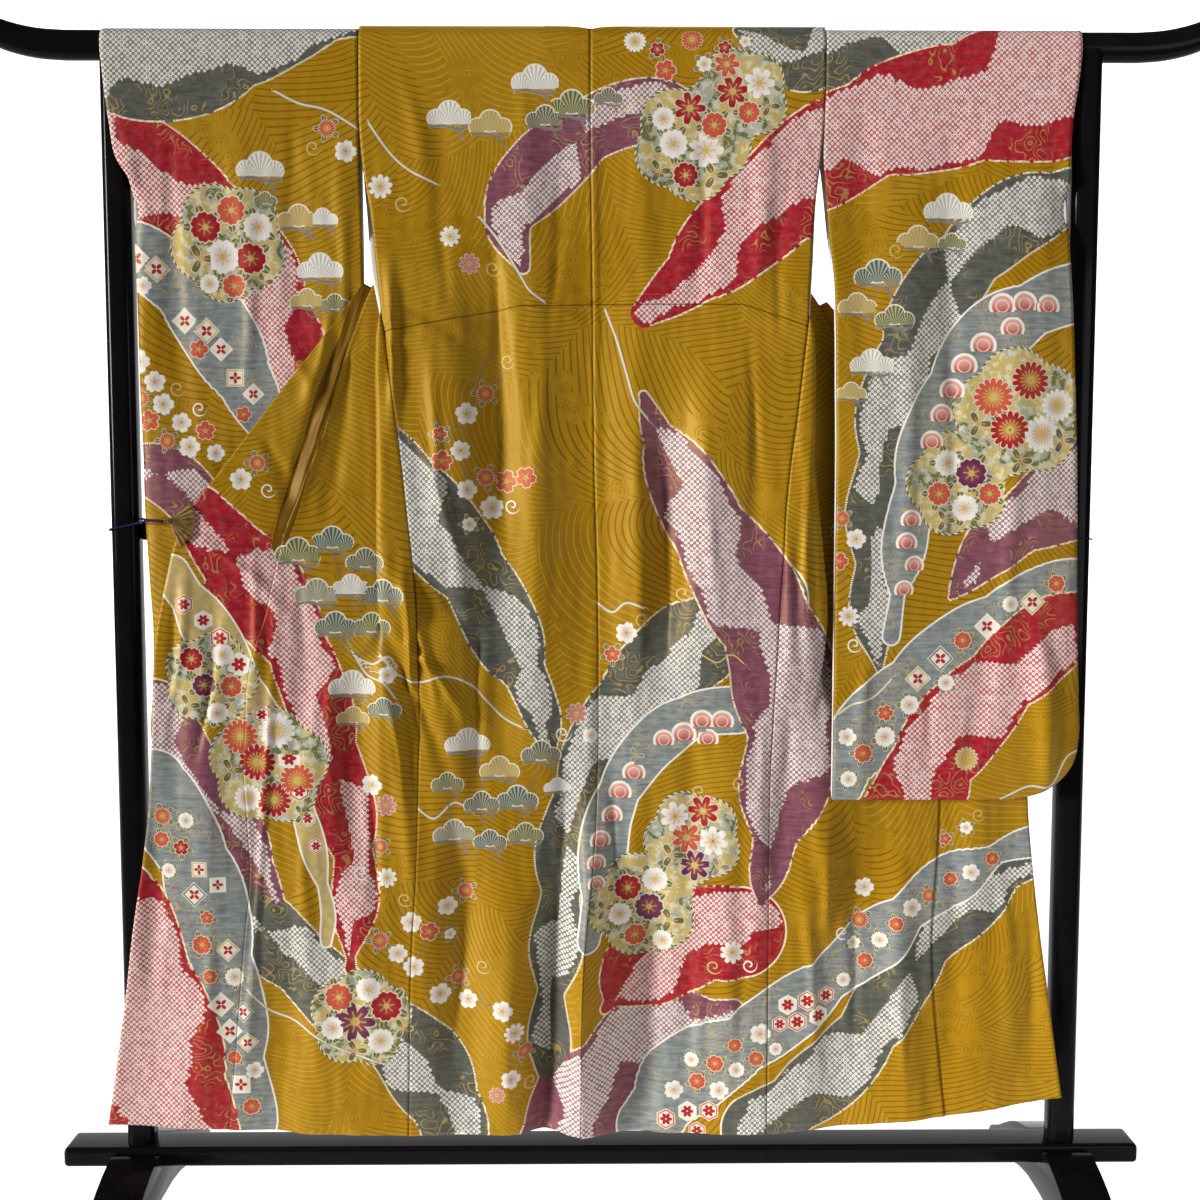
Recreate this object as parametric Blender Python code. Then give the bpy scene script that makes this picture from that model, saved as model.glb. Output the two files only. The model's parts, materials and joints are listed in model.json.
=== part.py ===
"""Furisode kimono hung over a lacquered rack, seen from its back, with both fronts spread outwards.

Frame: metres, +Z up. The origin is on the floor at the middle of the rack. The back of the
kimono faces -Y, and +X is on the viewer's right. Every cloth piece is one wall (outer silk and
lining together), drawn as rows of points on its outer face and thickened inwards.
"""

import math

import bmesh
import bpy
import numpy as np

CM = 0.01

# Cloth sizes
WALL = 0.0015
COLLAR_WALL = 0.0024
SEAM_GAP = 0.0004
BODY_COLUMNS = 14
OKUMI_COLUMNS = 5
COLLAR_COLUMNS = 6
COLLAR_WIDTH = 0.055
CUFF_END = 1.51

# Rack sizes
BAR_HEIGHT = 1.720
BAR_HALF_HIGH = 0.021
BAR_HALF_DEEP = 0.019
BAR_SIDES = 12
POST_ROUND = 0.009
SADDLE_REACH = 0.040
POST_OVER_BAR_CENTRE = -0.006
CLOTH_OVER_BAR_UP = 0.0023
CLOTH_OVER_BAR_OUT = 0.0030
POST_X = 0.690
POST_SIDE = 0.040
BEAM_LENGTH = 1.60
BEAM_DEPTH = 0.062
BEAM_HIGH = 0.029
BEAM_TOP = 0.118
BEAM_EDGE = 0.003
RAIL_HEIGHT = 1.033
RAIL_HIGH = 0.026
RAIL_DEEP = 0.020
RAIL_EDGE = 0.004
FOOT_WIDE = 0.070
FIT = 0.0003

# Shapes of the cloth, in centimetres unless a share of something else
SIDE_SEAM_TOP = 132.0
LAYER_PITCH = 1.0
FOLD_END_SHARE = 0.35
EDGE_HOLD = 0.12
SAG_POWER = 1.5
COLLAR_BEHIND = 0.46
COLLAR_LEAN = 0.80
COLLAR_END_ROWS = 5
SLEEVE_WIDTH = 34.0
SLEEVE_SHOULDER_OUT = 0.3
SLEEVE_BOTTOM_ROUND = 6.0
SLEEVE_EDGE_FULLNESS = 12
SLEEVE_BOTTOM_FULLNESS = 8
SLEEVE_WAVE_FULLNESS = 6
SWAG_TURN_PAST = 0.2
PLEAT_LANDING = 0.30
FRONT_TURNS = (0, 30, 60)
REAR_TURNS = (90, 120, 150, 180)


def table(columns, *rows):
    """A table with named columns, kept as one array for each column."""
    names = columns.split()
    return {name: np.array([row[k] for row in rows], float) for k, name in enumerate(names)}


# Rows down a body panel: z of the row at the side edge, x of the side and centre edges of the
# back, and y of both, all in centimetres.
BACK_LEFT = table(
    "z side centre y_side y_centre",
    (168.0, -34.3, -1.7, -2.4, -2.4),
    (161.0, -34.3, -1.7, -2.5, -2.4),
    (155.3, -33.9, -1.7, -2.7, -2.4),
    (148.0, -32.7, -1.6, -3.4, -2.4),
    (140.0, -31.8, -1.5, -4.2, -2.5),
    (132.0, -30.9, -1.4, -4.8, -2.6),
    (126.0, -30.1, -1.4, -5.0, -2.6),
    (120.0, -29.3, -1.3, -5.1, -2.6),
    (112.0, -28.4, -1.2, -5.2, -2.6),
    (105.0, -27.7, -1.0, -5.3, -2.6),
    (98.5, -27.0, -0.8, -5.3, -2.6),
    (93.0, -26.6, -0.7, -5.3, -2.6),
    (90.0, -26.5, -0.65, -5.3, -2.6),
    (86.8, -26.4, -0.6, -5.3, -2.6),
    (83.2, -26.35, -0.6, -5.2, -2.6),
    (79.0, -26.3, -0.6, -5.1, -2.6),
    (74.0, -26.4, -0.6, -5.0, -2.6),
    (68.5, -26.6, -0.7, -4.9, -2.6),
    (61.0, -26.8, -0.9, -4.8, -2.6),
    (53.0, -27.1, -1.5, -4.7, -2.7),
    (43.5, -27.8, -2.5, -4.6, -2.9),
    (33.5, -28.2, -3.0, -4.6, -3.1),
    (24.0, -28.4, -3.1, -4.5, -3.3),
    (14.2, -28.6, -3.2, -4.4, -3.5),
)

BACK_RIGHT = table(
    "z side centre y_side y_centre",
    (168.0, 31.5, -1.7, -2.4, -2.4),
    (161.0, 31.3, -1.7, -2.5, -2.4),
    (155.3, 30.8, -1.7, -2.7, -2.4),
    (148.0, 29.9, -1.6, -3.5, -2.4),
    (140.0, 29.4, -1.5, -4.6, -2.5),
    (132.0, 28.9, -1.4, -5.4, -2.6),
    (126.0, 28.2, -1.4, -5.8, -2.6),
    (120.0, 27.5, -1.3, -6.0, -2.6),
    (112.0, 26.5, -1.2, -6.2, -2.6),
    (105.0, 25.9, -1.0, -6.3, -2.6),
    (98.5, 25.6, -0.8, -6.4, -2.6),
    (93.0, 25.3, -0.7, -6.4, -2.6),
    (90.0, 25.15, -0.65, -6.4, -2.6),
    (86.8, 25.0, -0.6, -6.3, -2.6),
    (83.2, 24.85, -0.6, -6.1, -2.6),
    (79.0, 24.65, -0.6, -5.7, -2.6),
    (74.0, 24.5, -0.6, -5.2, -2.6),
    (68.5, 24.3, -0.7, -4.8, -2.6),
    (61.0, 24.2, -0.9, -4.6, -2.6),
    (53.0, 24.2, -1.5, -4.4, -2.7),
    (43.5, 24.3, -2.5, -4.2, -2.9),
    (33.5, 24.3, -3.0, -4.1, -3.1),
    (24.0, 24.3, -3.1, -4.1, -3.3),
    (14.0, 24.3, -3.2, -4.1, -3.5),
)

# Rows down a front panel, one for each row of the back: its side edge, its okumi edge, the width
# of the strip that turns outwards at the side seam, the depth of the pleat behind it, and how much
# of the row is a hanging swag or a pleat (the rest lies flat). Centimetres; the two shares are 0 to 1.
FRONT_LEFT = table(
    "z side y_side edge_z edge edge_y strip tuck swag pleat",
    (168.0, -34.3, 2.3, 169.0, -12.3, 3.0, 0.0, 21.5, 1.0, 0.0),
    (161.0, -34.3, 1.6, 163.2, -16.6, 2.7, 0.0, 19.5, 1.0, 0.0),
    (155.3, -34.2, 0.8, 157.2, -20.6, 2.1, 0.0, 18.3, 1.0, 0.0),
    (148.0, -33.5, -0.6, 151.2, -24.6, 1.2, 0.0, 17.3, 1.0, 0.0),
    (140.0, -32.7, -2.6, 145.0, -28.8, 0.0, 0.3, 15.0, 0.8, 0.2),
    (132.0, -30.9, -4.8, 137.9, -33.1, -2.1, 1.3, 11.8, 0.1, 0.9),
    (126.0, -30.1, -5.0, 132.0, -35.2, -3.0, 2.0, 11.0, 0.0, 1.0),
    (120.0, -29.3, -5.1, 126.1, -37.2, -3.7, 2.8, 9.8, 0.0, 1.0),
    (112.0, -28.4, -5.2, 117.7, -39.5, -4.5, 3.7, 8.3, 0.0, 1.0),
    (105.0, -27.7, -5.3, 110.3, -42.4, -5.0, 4.5, 6.6, 0.0, 1.0),
    (98.5, -27.0, -5.3, 102.9, -45.4, -5.3, 5.2, 4.8, 0.0, 1.0),
    (93.0, -26.6, -5.3, 97.0, -46.8, -5.4, 5.6, 3.6, 0.0, 0.92),
    (90.0, -26.5, -5.3, 93.0, -47.7, -5.4, 5.6, 3.0, 0.0, 0.72),
    (86.8, -26.4, -5.3, 88.8, -48.9, -5.4, 5.6, 2.4, 0.0, 0.45),
    (83.2, -26.35, -5.2, 84.7, -50.3, -5.4, 5.6, 2.0, 0.0, 0.18),
    (79.0, -26.3, -5.1, 80.2, -51.0, -5.3, 5.6, 1.8, 0.0, 0.0),
    (74.0, -26.4, -5.0, 75.0, -51.3, -5.3, 5.6, 1.8, 0.0, 0.0),
    (68.5, -26.6, -4.9, 69.1, -51.7, -5.2, 5.6, 1.8, 0.0, 0.0),
    (61.0, -26.8, -4.8, 61.3, -51.4, -5.1, 5.6, 1.8, 0.0, 0.0),
    (53.0, -27.1, -4.7, 53.5, -51.2, -5.0, 5.6, 1.8, 0.0, 0.0),
    (43.5, -27.8, -4.6, 43.6, -52.2, -4.8, 5.6, 1.8, 0.0, 0.0),
    (33.5, -28.2, -4.6, 33.6, -53.2, -4.6, 5.6, 1.8, 0.0, 0.0),
    (24.0, -28.4, -4.5, 24.6, -54.1, -4.4, 5.6, 1.8, 0.0, 0.0),
    (14.2, -28.6, -4.4, 15.2, -55.1, -4.3, 5.6, 1.8, 0.0, 0.0),
)

FRONT_RIGHT = table(
    "z side y_side edge_z edge edge_y strip tuck swag pleat",
    (168.0, 31.5, 2.3, 169.0, 8.8, 3.0, 0.0, 21.5, 1.0, 0.0),
    (161.0, 31.3, 1.6, 163.0, 13.2, 2.7, 0.0, 19.5, 1.0, 0.0),
    (155.3, 31.0, 0.8, 156.5, 17.8, 2.1, 0.0, 18.3, 1.0, 0.0),
    (148.0, 30.4, -0.6, 149.7, 22.4, 1.2, 0.0, 17.3, 1.0, 0.0),
    (140.0, 29.8, -2.8, 142.7, 27.0, -0.2, 0.3, 15.0, 0.8, 0.2),
    (132.0, 28.9, -5.4, 135.5, 31.3, -1.7, 1.2, 11.8, 0.1, 0.9),
    (126.0, 28.2, -5.8, 129.5, 33.8, -2.4, 2.0, 11.0, 0.0, 1.0),
    (120.0, 27.5, -6.0, 123.5, 36.2, -2.9, 2.7, 9.8, 0.0, 1.0),
    (112.0, 26.5, -6.2, 116.0, 39.0, -3.2, 3.7, 7.8, 0.0, 1.0),
    (105.0, 25.9, -6.3, 109.0, 41.8, -3.3, 5.0, 6.2, 0.0, 1.0),
    (98.5, 25.6, -6.4, 102.0, 44.6, -3.3, 6.0, 4.8, 0.0, 1.0),
    (93.0, 25.3, -6.4, 96.0, 46.2, -3.3, 6.8, 3.8, 0.0, 1.0),
    (90.0, 25.15, -6.4, 92.5, 47.0, -3.3, 7.0, 3.5, 0.0, 1.0),
    (86.8, 25.0, -6.3, 88.8, 47.7, -3.3, 7.0, 3.2, 0.0, 0.95),
    (83.2, 24.85, -6.1, 84.8, 48.2, -3.3, 7.0, 2.8, 0.0, 0.8),
    (79.0, 24.65, -5.7, 80.2, 48.6, -3.3, 7.0, 2.4, 0.0, 0.5),
    (74.0, 24.5, -5.2, 75.0, 48.9, -3.3, 7.0, 1.8, 0.0, 0.15),
    (68.5, 24.3, -4.8, 69.0, 49.2, -3.3, 7.0, 1.8, 0.0, 0.0),
    (61.0, 24.2, -4.6, 61.3, 49.2, -3.3, 7.0, 1.8, 0.0, 0.0),
    (53.0, 24.2, -4.4, 53.5, 48.9, -3.3, 7.0, 1.8, 0.0, 0.0),
    (43.5, 24.3, -4.2, 43.8, 48.4, -3.3, 7.0, 1.8, 0.0, 0.0),
    (33.5, 24.3, -4.1, 34.0, 48.9, -3.3, 7.0, 1.8, 0.0, 0.0),
    (24.0, 24.3, -4.1, 24.9, 49.9, -3.3, 7.0, 1.8, 0.0, 0.0),
    (14.0, 24.3, -4.1, 16.4, 50.9, -3.3, 7.0, 1.8, 0.0, 0.0),
)

# Outer edge of each okumi, one row for each front row from the kensaki tip down. Centimetres.
KENSAKI_ROW = 5
OKUMI_LEFT = table(
    "edge_z edge y",
    (138.6, -34.0, -2.2),
    (132.4, -38.4, -3.3),
    (126.7, -42.8, -4.2),
    (118.7, -48.9, -5.2),
    (111.7, -54.2, -5.8),
    (106.0, -58.6, -6.0),
    (101.0, -60.8, -6.0),
    (96.3, -62.0, -5.9),
    (91.2, -63.1, -5.9),
    (86.2, -63.9, -5.8),
    (81.0, -64.2, -5.7),
    (75.3, -64.5, -5.6),
    (69.5, -64.9, -5.5),
    (62.5, -65.5, -5.4),
    (55.5, -66.5, -5.2),
    (45.5, -68.2, -5.0),
    (35.3, -69.6, -4.8),
    (25.8, -71.1, -4.6),
    (16.1, -72.7, -4.4),
)

OKUMI_RIGHT = table(
    "edge_z edge y",
    (136.1, 32.1, -1.7),
    (131.0, 36.6, -2.5),
    (125.8, 41.4, -3.0),
    (119.8, 47.0, -3.3),
    (114.0, 52.4, -3.4),
    (108.6, 57.4, -3.4),
    (104.0, 60.9, -3.4),
    (98.5, 61.1, -3.4),
    (92.8, 61.2, -3.4),
    (87.3, 61.4, -3.4),
    (81.8, 61.5, -3.4),
    (76.0, 61.7, -3.4),
    (69.8, 61.9, -3.4),
    (63.0, 62.2, -3.4),
    (55.6, 62.9, -3.4),
    (45.5, 64.2, -3.4),
    (36.3, 65.6, -3.4),
    (27.6, 66.9, -3.4),
    (19.2, 68.2, -3.4),
)

# Soft folds: place across the panel (0 at the centre seam or side seam edge, 1 at the other edge),
# heights between which each fold lives, depth (minus is towards the viewer) and half width.
BACK_LEFT_FOLDS = table(
    "across top bottom depth width",
    (0.50, 150.0, 96.0, 1.3, 3.2),
    (0.55, 118.0, 58.0, 1.2, 3.0),
    (0.72, 140.0, 92.0, -0.9, 3.6),
    (0.30, 165.0, 70.0, -0.6, 4.2),
    (0.70, 66.0, 8.0, 1.6, 3.4),
    (0.40, 50.0, 8.0, -1.2, 3.4),
    (0.22, 60.0, 4.0, 4.2, 2.6),
    (0.00, 70.0, 2.0, -3.6, 2.6),
    (0.90, 96.0, 60.0, -0.7, 2.2),
)

BACK_RIGHT_FOLDS = table(
    "across top bottom depth width",
    (0.36, 128.0, 74.0, 1.4, 2.9),
    (0.20, 150.0, 66.0, -0.8, 2.8),
    (0.62, 136.0, 70.0, -1.0, 4.4),
    (0.00, 70.0, 2.0, -3.6, 2.6),
    (0.30, 60.0, 4.0, 3.1, 3.6),
    (0.58, 52.0, 6.0, 1.4, 3.2),
    (0.80, 84.0, 20.0, -0.8, 3.2),
)

FRONT_LEFT_FOLDS = table(
    "across top bottom depth width",
    (0.18, 92.0, 62.0, -0.9, 2.0),
    (0.38, 90.0, 52.0, 0.9, 2.4),
    (0.62, 84.0, 40.0, -0.7, 2.8),
    (0.30, 60.0, 4.0, -0.8, 3.6),
    (0.74, 50.0, 4.0, 1.0, 3.4),
    (0.55, 40.0, 0.0, -0.7, 3.0),
)

FRONT_RIGHT_FOLDS = table(
    "across top bottom depth width",
    (0.30, 88.0, 40.0, -0.7, 3.0),
    (0.62, 90.0, 20.0, 0.7, 3.4),
    (0.40, 50.0, 0.0, 0.8, 3.0),
    (0.80, 60.0, 0.0, -0.8, 3.0),
)

OKUMI_FOLDS = table(
    "across top bottom depth width",
    (0.45, 98.0, 40.0, -0.8, 3.0),
    (0.75, 70.0, 0.0, 0.7, 2.8),
    (0.30, 44.0, 0.0, -0.6, 3.0),
)

# Sleeves, from the bar down. Inner edge, outer edge of the wall towards the viewer and of the wall
# behind, and y of the viewer's wall and of the wall behind at its inner and outer edges. Centimetres.
SLEEVE_LEFT = table(
    "z inner outer rear_outer y rear_in rear_out",
    (168.0, -34.34, -70.2, -69.8, -2.4, 2.3, 2.4),
    (161.0, -34.34, -69.4, -67.7, -2.5, 1.6, 2.3),
    (155.3, -34.30, -68.2, -66.5, -2.6, 0.8, 1.5),
    (153.2, -34.25, -66.8, -66.4, -2.6, 0.5, 0.9),
    (151.0, -34.2, -66.6, -66.6, -2.4, 0.2, 0.3),
    (145.0, -34.1, -66.5, -66.5, -2.0, -0.2, -0.1),
    (139.0, -34.1, -66.4, -66.4, -1.5, -0.3, -0.3),
    (132.0, -34.2, -66.3, -66.3, -1.5, -0.3, -0.3),
    (124.0, -34.3, -66.2, -66.2, -1.9, -0.7, -0.7),
    (115.0, -34.4, -65.9, -65.9, -2.4, -1.2, -1.2),
    (106.0, -34.5, -65.7, -65.7, -2.8, -1.6, -1.6),
    (97.0, -34.6, -65.3, -65.3, -2.9, -1.7, -1.7),
    (88.0, -34.7, -64.9, -64.9, -3.0, -1.8, -1.8),
    (79.0, -34.8, -65.3, -65.3, -3.0, -1.8, -1.8),
    (73.5, -34.9, -65.6, -65.6, -3.0, -1.8, -1.8),
    (70.0, -34.9, -65.0, -65.0, -3.0, -1.8, -1.8),
    (67.3, -34.9, -63.0, -63.0, -3.0, -1.8, -1.8),
    (65.6, -34.9, -60.6, -60.6, -3.0, -1.8, -1.8),
    (64.7, -34.9, -57.0, -57.0, -2.4, -2.4, -2.4),
)

SLEEVE_RIGHT = table(
    "z inner outer rear_outer y rear_in rear_out",
    (168.0, 31.54, 67.4, 67.4, -2.4, 2.3, 2.4),
    (161.0, 31.34, 66.5, 66.4, -2.6, 1.6, 1.9),
    (155.3, 31.20, 66.2, 66.2, -3.0, 0.6, 0.6),
    (153.2, 31.35, 66.2, 66.2, -3.3, -0.1, -0.2),
    (151.0, 31.5, 66.1, 66.1, -3.6, -0.8, -0.9),
    (145.0, 31.9, 66.2, 66.2, -4.3, -2.3, -2.3),
    (139.0, 32.6, 66.4, 66.4, -5.0, -3.6, -3.6),
    (132.0, 32.8, 66.7, 66.7, -5.6, -4.3, -4.3),
    (124.0, 32.9, 67.0, 67.0, -5.9, -4.6, -4.6),
    (115.0, 33.0, 67.3, 67.3, -6.3, -5.0, -5.0),
    (106.0, 33.0, 67.5, 67.5, -6.5, -5.2, -5.2),
    (97.0, 33.0, 67.7, 67.7, -6.5, -5.2, -5.2),
    (88.0, 33.0, 68.0, 68.0, -6.5, -5.2, -5.2),
    (79.0, 33.0, 68.4, 68.4, -6.5, -5.2, -5.2),
    (73.5, 33.0, 68.5, 68.5, -6.5, -5.2, -5.2),
    (70.0, 33.0, 67.8, 67.8, -6.5, -5.2, -5.2),
    (67.3, 33.0, 65.8, 65.8, -6.5, -5.2, -5.2),
    (65.6, 33.0, 63.0, 63.0, -6.5, -5.2, -5.2),
    (64.7, 33.0, 59.0, 59.0, -5.9, -5.9, -5.9),
)
SLEEVE_ACROSS = (0.0, 0.16, 0.32, 0.48, 0.64, 0.78, 0.89, 0.96, 1.0)
SLEEVE_FOLDS = table(
    "across top bottom depth width",
    (0.22, 150.0, 80.0, -0.35, 4.0),
    (0.55, 165.0, 84.0, 0.35, 4.5),
    (0.80, 140.0, 76.0, -0.3, 4.0),
)

# The collar's rows beside the neck: run along the cloth from the bar's top to the seam edge, distance out
# from the neck point, turn of the band in degrees and how far it stands off. Centimetres.
NECK_TURN = table(
    "start out turn stand",
    (0.35, -0.15, 0.0, 0.06),
    (1.10, 0.05, 6.0, 0.12),
    (2.20, 0.30, 14.0, 0.22),
    (3.60, 0.70, 24.0, 0.38),
)
NECK_LEFT = -10.5
NECK_RIGHT = 6.9

# The arched foot in side view, half of it: y and z in centimetres, from the beam's seat outwards.
FOOT_HALF = table(
    "y z",
    (3.16, 8.87),
    (3.16, 10.80),
    (4.40, 11.10),
    (8.00, 10.30),
    (12.0, 8.90),
    (16.0, 6.90),
    (20.0, 4.70),
    (24.0, 2.90),
    (25.5, 1.60),
    (25.5, 0.00),
    (18.0, 0.00),
    (14.0, 1.70),
    (8.00, 3.40),
    (3.00, 4.10),
)

# The bar's centre line from the post outwards: x and rise, in centimetres.
BAR_END = table("x rise", (76.0, 0.0), (80.0, 0.3), (84.0, 1.2), (87.0, 2.5), (90.0, 4.3), (92.5, 6.3))

# Fan clips: the pivot of each, the y of the cloth's face that it grips and how deep the grip is. Metres.
CLIP_LEFT = table("x y z grip", (-0.6115, -0.0605, 1.049, 0.0115))
CLIP_RIGHT = table("x y z grip", (0.6225, -0.0345, 1.046, 0.0115))
FAN_RADIUS = 0.037
FAN_LEAF = 0.0022
FAN_RIBS = 9
FAN_RIB_DEPTH = 0.0007
FAN_UP = 40.0
FAN_DOWN = -71.0
HINGE_RADIUS = 0.0042
RING_RADIUS = 0.0050
RING_WIRE = 0.0010
FAN_NOTCH = 0.0008
HINGE_PAST_LEAVES = 0.001
CORD_RADIUS = 0.0012

# Each cord's loop, from the clip's ring round the post and back over the rail. Centimetres.
CORD_LEFT = table(
    "x y z",
    (-62.28, -5.55, 104.9),
    (-62.6, -5.95, 104.9),
    (-63.6, -5.65, 104.9),
    (-65.2, -4.4, 104.8),
    (-66.9, -2.7, 104.5),
    (-68.6, -2.2, 104.1),
    (-70.6, -2.2, 103.7),
    (-71.2, -1.4, 103.5),
    (-71.25, 0.0, 103.4),
    (-71.2, 1.5, 103.4),
    (-70.4, 2.2, 103.5),
    (-69.0, 2.2, 103.8),
    (-67.6, 2.15, 104.4),
    (-66.8, 1.5, 104.9),
    (-66.7, 0.0, 105.1),
    (-66.6, -1.8, 105.1),
    (-66.0, -3.3, 105.1),
    (-64.6, -4.5, 105.05),
    (-63.3, -5.05, 105.0),
    (-62.6, -5.2, 104.9),
)

CORD_RIGHT = table(
    "x y z",
    (63.38, -2.95, 104.6),
    (63.7, -3.35, 104.6),
    (64.8, -3.15, 104.2),
    (66.2, -2.6, 103.4),
    (67.7, -2.2, 102.7),
    (69.2, -2.2, 102.4),
    (70.6, -2.2, 102.2),
    (71.2, -1.4, 102.1),
    (71.25, 0.0, 102.1),
    (71.2, 1.5, 102.2),
    (70.4, 2.2, 102.6),
    (69.0, 2.2, 103.4),
    (67.6, 2.15, 104.4),
    (66.8, 1.5, 104.9),
    (66.7, 0.0, 105.0),
    (66.4, -1.6, 105.0),
    (65.4, -2.35, 104.9),
    (64.4, -2.6, 104.7),
    (63.7, -2.6, 104.6),
)

GOLD_SILK = ("furisode gold silk", (0.50, 0.27, 0.02), 0.45, 0.0)
LACQUER = ("black lacquer", (0.006, 0.006, 0.007), 0.12, 0.0)
BRASS = ("aged brass", (0.42, 0.28, 0.10), 0.35, 1.0)
PURPLE_CORD = ("purple cord", (0.09, 0.03, 0.22), 0.7, 0.0)


def clear_scene():
    for obj in list(bpy.data.objects):
        bpy.data.objects.remove(obj, do_unlink=True)


def material(look):
    name, colour, roughness, metallic = look
    if name in bpy.data.materials:
        return bpy.data.materials[name]
    made = bpy.data.materials.new(name)
    made.use_nodes = True
    shader = made.node_tree.nodes["Principled BSDF"]
    shader.inputs["Base Color"].default_value = (*colour, 1.0)
    shader.inputs["Roughness"].default_value = roughness
    shader.inputs["Metallic"].default_value = metallic
    return made


def add_object(name, points, faces, look):
    mesh = bpy.data.meshes.new(name)
    mesh.from_pydata([tuple(p) for p in points], [], faces)
    mesh.validate()
    mesh.materials.append(material(look))
    obj = bpy.data.objects.new(name, mesh)
    bpy.context.scene.collection.objects.link(obj)
    return obj


def closed_piece(obj):
    """Every face of a closed piece turned to look outwards."""
    mesh = bmesh.new()
    mesh.from_mesh(obj.data)
    bmesh.ops.recalc_face_normals(mesh, faces=mesh.faces)
    mesh.to_mesh(obj.data)
    mesh.free()
    return obj


def thicken(obj, wall):
    """The wall grows inwards from the outer face, so sizes are those of the outside."""
    solid = obj.modifiers.new("wall", "SOLIDIFY")
    solid.thickness = wall
    solid.offset = -1.0
    solid.use_rim = True
    return obj


def fade(z, top, bottom):
    """1 in the middle of a fold's height and 0 past its ends, with soft ends."""
    reach = FOLD_END_SHARE * (top - bottom)
    up = np.clip((top - z) / reach, 0.0, 1.0)
    down = np.clip((z - bottom) / reach, 0.0, 1.0)
    blend = np.minimum(up, down)
    return blend * blend * (3.0 - 2.0 * blend)


def fold_depth(folds, across, z, span):
    """Sum of the soft folds at a place across the panel, in centimetres."""
    total = 0.0
    for k in range(len(folds["depth"])):
        away = (across - folds["across"][k]) * span / folds["width"][k]
        total += folds["depth"][k] * math.exp(-away * away) * fade(z, folds["top"][k], folds["bottom"][k])
    return total


def edge_hold(across):
    """Folds die out at a sewn or free side edge, so neighbours keep meeting there."""
    return min(1.0, across / EDGE_HOLD)


def back_row(rows, folds, index):
    """One row of a back panel, from its side edge to the centre seam."""
    z = rows["z"][index]
    side = rows["side"][index]
    centre = rows["centre"][index]
    gap = SEAM_GAP / CM / 2 * math.copysign(1.0, side)
    points = []
    for k in range(BODY_COLUMNS + 1):
        t = k / BODY_COLUMNS
        x = side + (centre + gap - side) * t
        y = rows["y_side"][index] + (rows["y_centre"][index] - rows["y_side"][index]) * t**SAG_POWER
        y += fold_depth(folds, 1.0 - t, z, abs(side - centre)) * edge_hold(t)
        points.append((x, y, z))
    return points


def arch_place(angle):
    """y and z of the cloth over the bar. The angle runs from the viewer's side (0) to the rear (180)."""
    turn = math.radians(angle)
    y = -(BAR_HALF_DEEP + CLOTH_OVER_BAR_OUT) / CM * math.cos(turn)
    z = BAR_HEIGHT / CM + (BAR_HALF_HIGH + CLOTH_OVER_BAR_UP) / CM * math.sin(turn)
    return y, z


def arch_row(angle, side, inner):
    """One straight row of a body panel over the bar."""
    y, z = arch_place(angle)
    return [(side + (inner - side) * k / BODY_COLUMNS, y, z) for k in range(BODY_COLUMNS + 1)]


def swag_path(tuck, reach):
    """The row goes inwards from its side edge by tuck, turns behind itself and comes back outwards."""
    half = BODY_COLUMNS // 2
    path = [(-tuck * k / half, 0.0) for k in range(half)]
    path.append((-tuck - SWAG_TURN_PAST, 0.5 * LAYER_PITCH))
    path += [(-tuck + (tuck + reach) * k / half, LAYER_PITCH) for k in range(half)]
    return path


def pleat_path(strip, tuck, reach):
    """A strip turned outwards, a tuck behind it and the rest of the row, which runs on outwards."""
    rest = reach - strip + tuck
    turned = ((0.0, 0.0), (0.45, -0.30), (0.85, -0.20), (1.0, 0.45), (0.80, 1.0))
    tucked = ((0.45, 1.05), (0.85, 1.1), (1.0, 1.6), (0.85, 2.1))
    path = [(strip * share, LAYER_PITCH * deep) for share, deep in turned]
    path += [(strip - tuck * share, LAYER_PITCH * deep) for share, deep in tucked]
    left = BODY_COLUMNS + 1 - len(path)
    for k in range(left):
        share = PLEAT_LANDING + (1.0 - PLEAT_LANDING) * k / (left - 1)
        path.append((strip - tuck + rest * share, LAYER_PITCH * tucked[-1][1]))
    return path


def flat_path(reach):
    return [(reach * k / BODY_COLUMNS, 0.0) for k in range(BODY_COLUMNS + 1)]


def front_row(rows, folds, index):
    """One row of a front panel, from the side seam edge to the okumi seam."""
    z = rows["z"][index]
    side = rows["side"][index]
    out = math.copysign(1.0, side)
    reach = out * (rows["edge"][index] - side)
    strip, tuck = rows["strip"][index], rows["tuck"][index]
    swag, pleat = rows["swag"][index], rows["pleat"][index]
    paths = (swag_path(tuck, reach), pleat_path(strip, tuck, reach), flat_path(reach))
    shares = (swag, pleat, 1.0 - swag - pleat)
    points = []
    for k in range(BODY_COLUMNS + 1):
        t = k / BODY_COLUMNS
        along = sum(share * path[k][0] for share, path in zip(shares, paths))
        behind = sum(share * path[k][1] for share, path in zip(shares, paths))
        seam = SEAM_GAP / CM / 2 if k == 0 and z <= SIDE_SEAM_TOP else 0.0
        x = side + out * (along + seam)
        y_line = rows["y_side"][index] + (rows["edge_y"][index] - rows["y_side"][index]) * t
        last = paths[0][-1][1] * swag + paths[1][-1][1] * pleat
        y = y_line + behind - last * t
        y += shares[2] * fold_depth(folds, t, z, reach) * edge_hold(t) * edge_hold(1.0 - t)
        height = z + (rows["edge_z"][index] - z) * t
        points.append((x, y, height))
    return points


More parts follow.
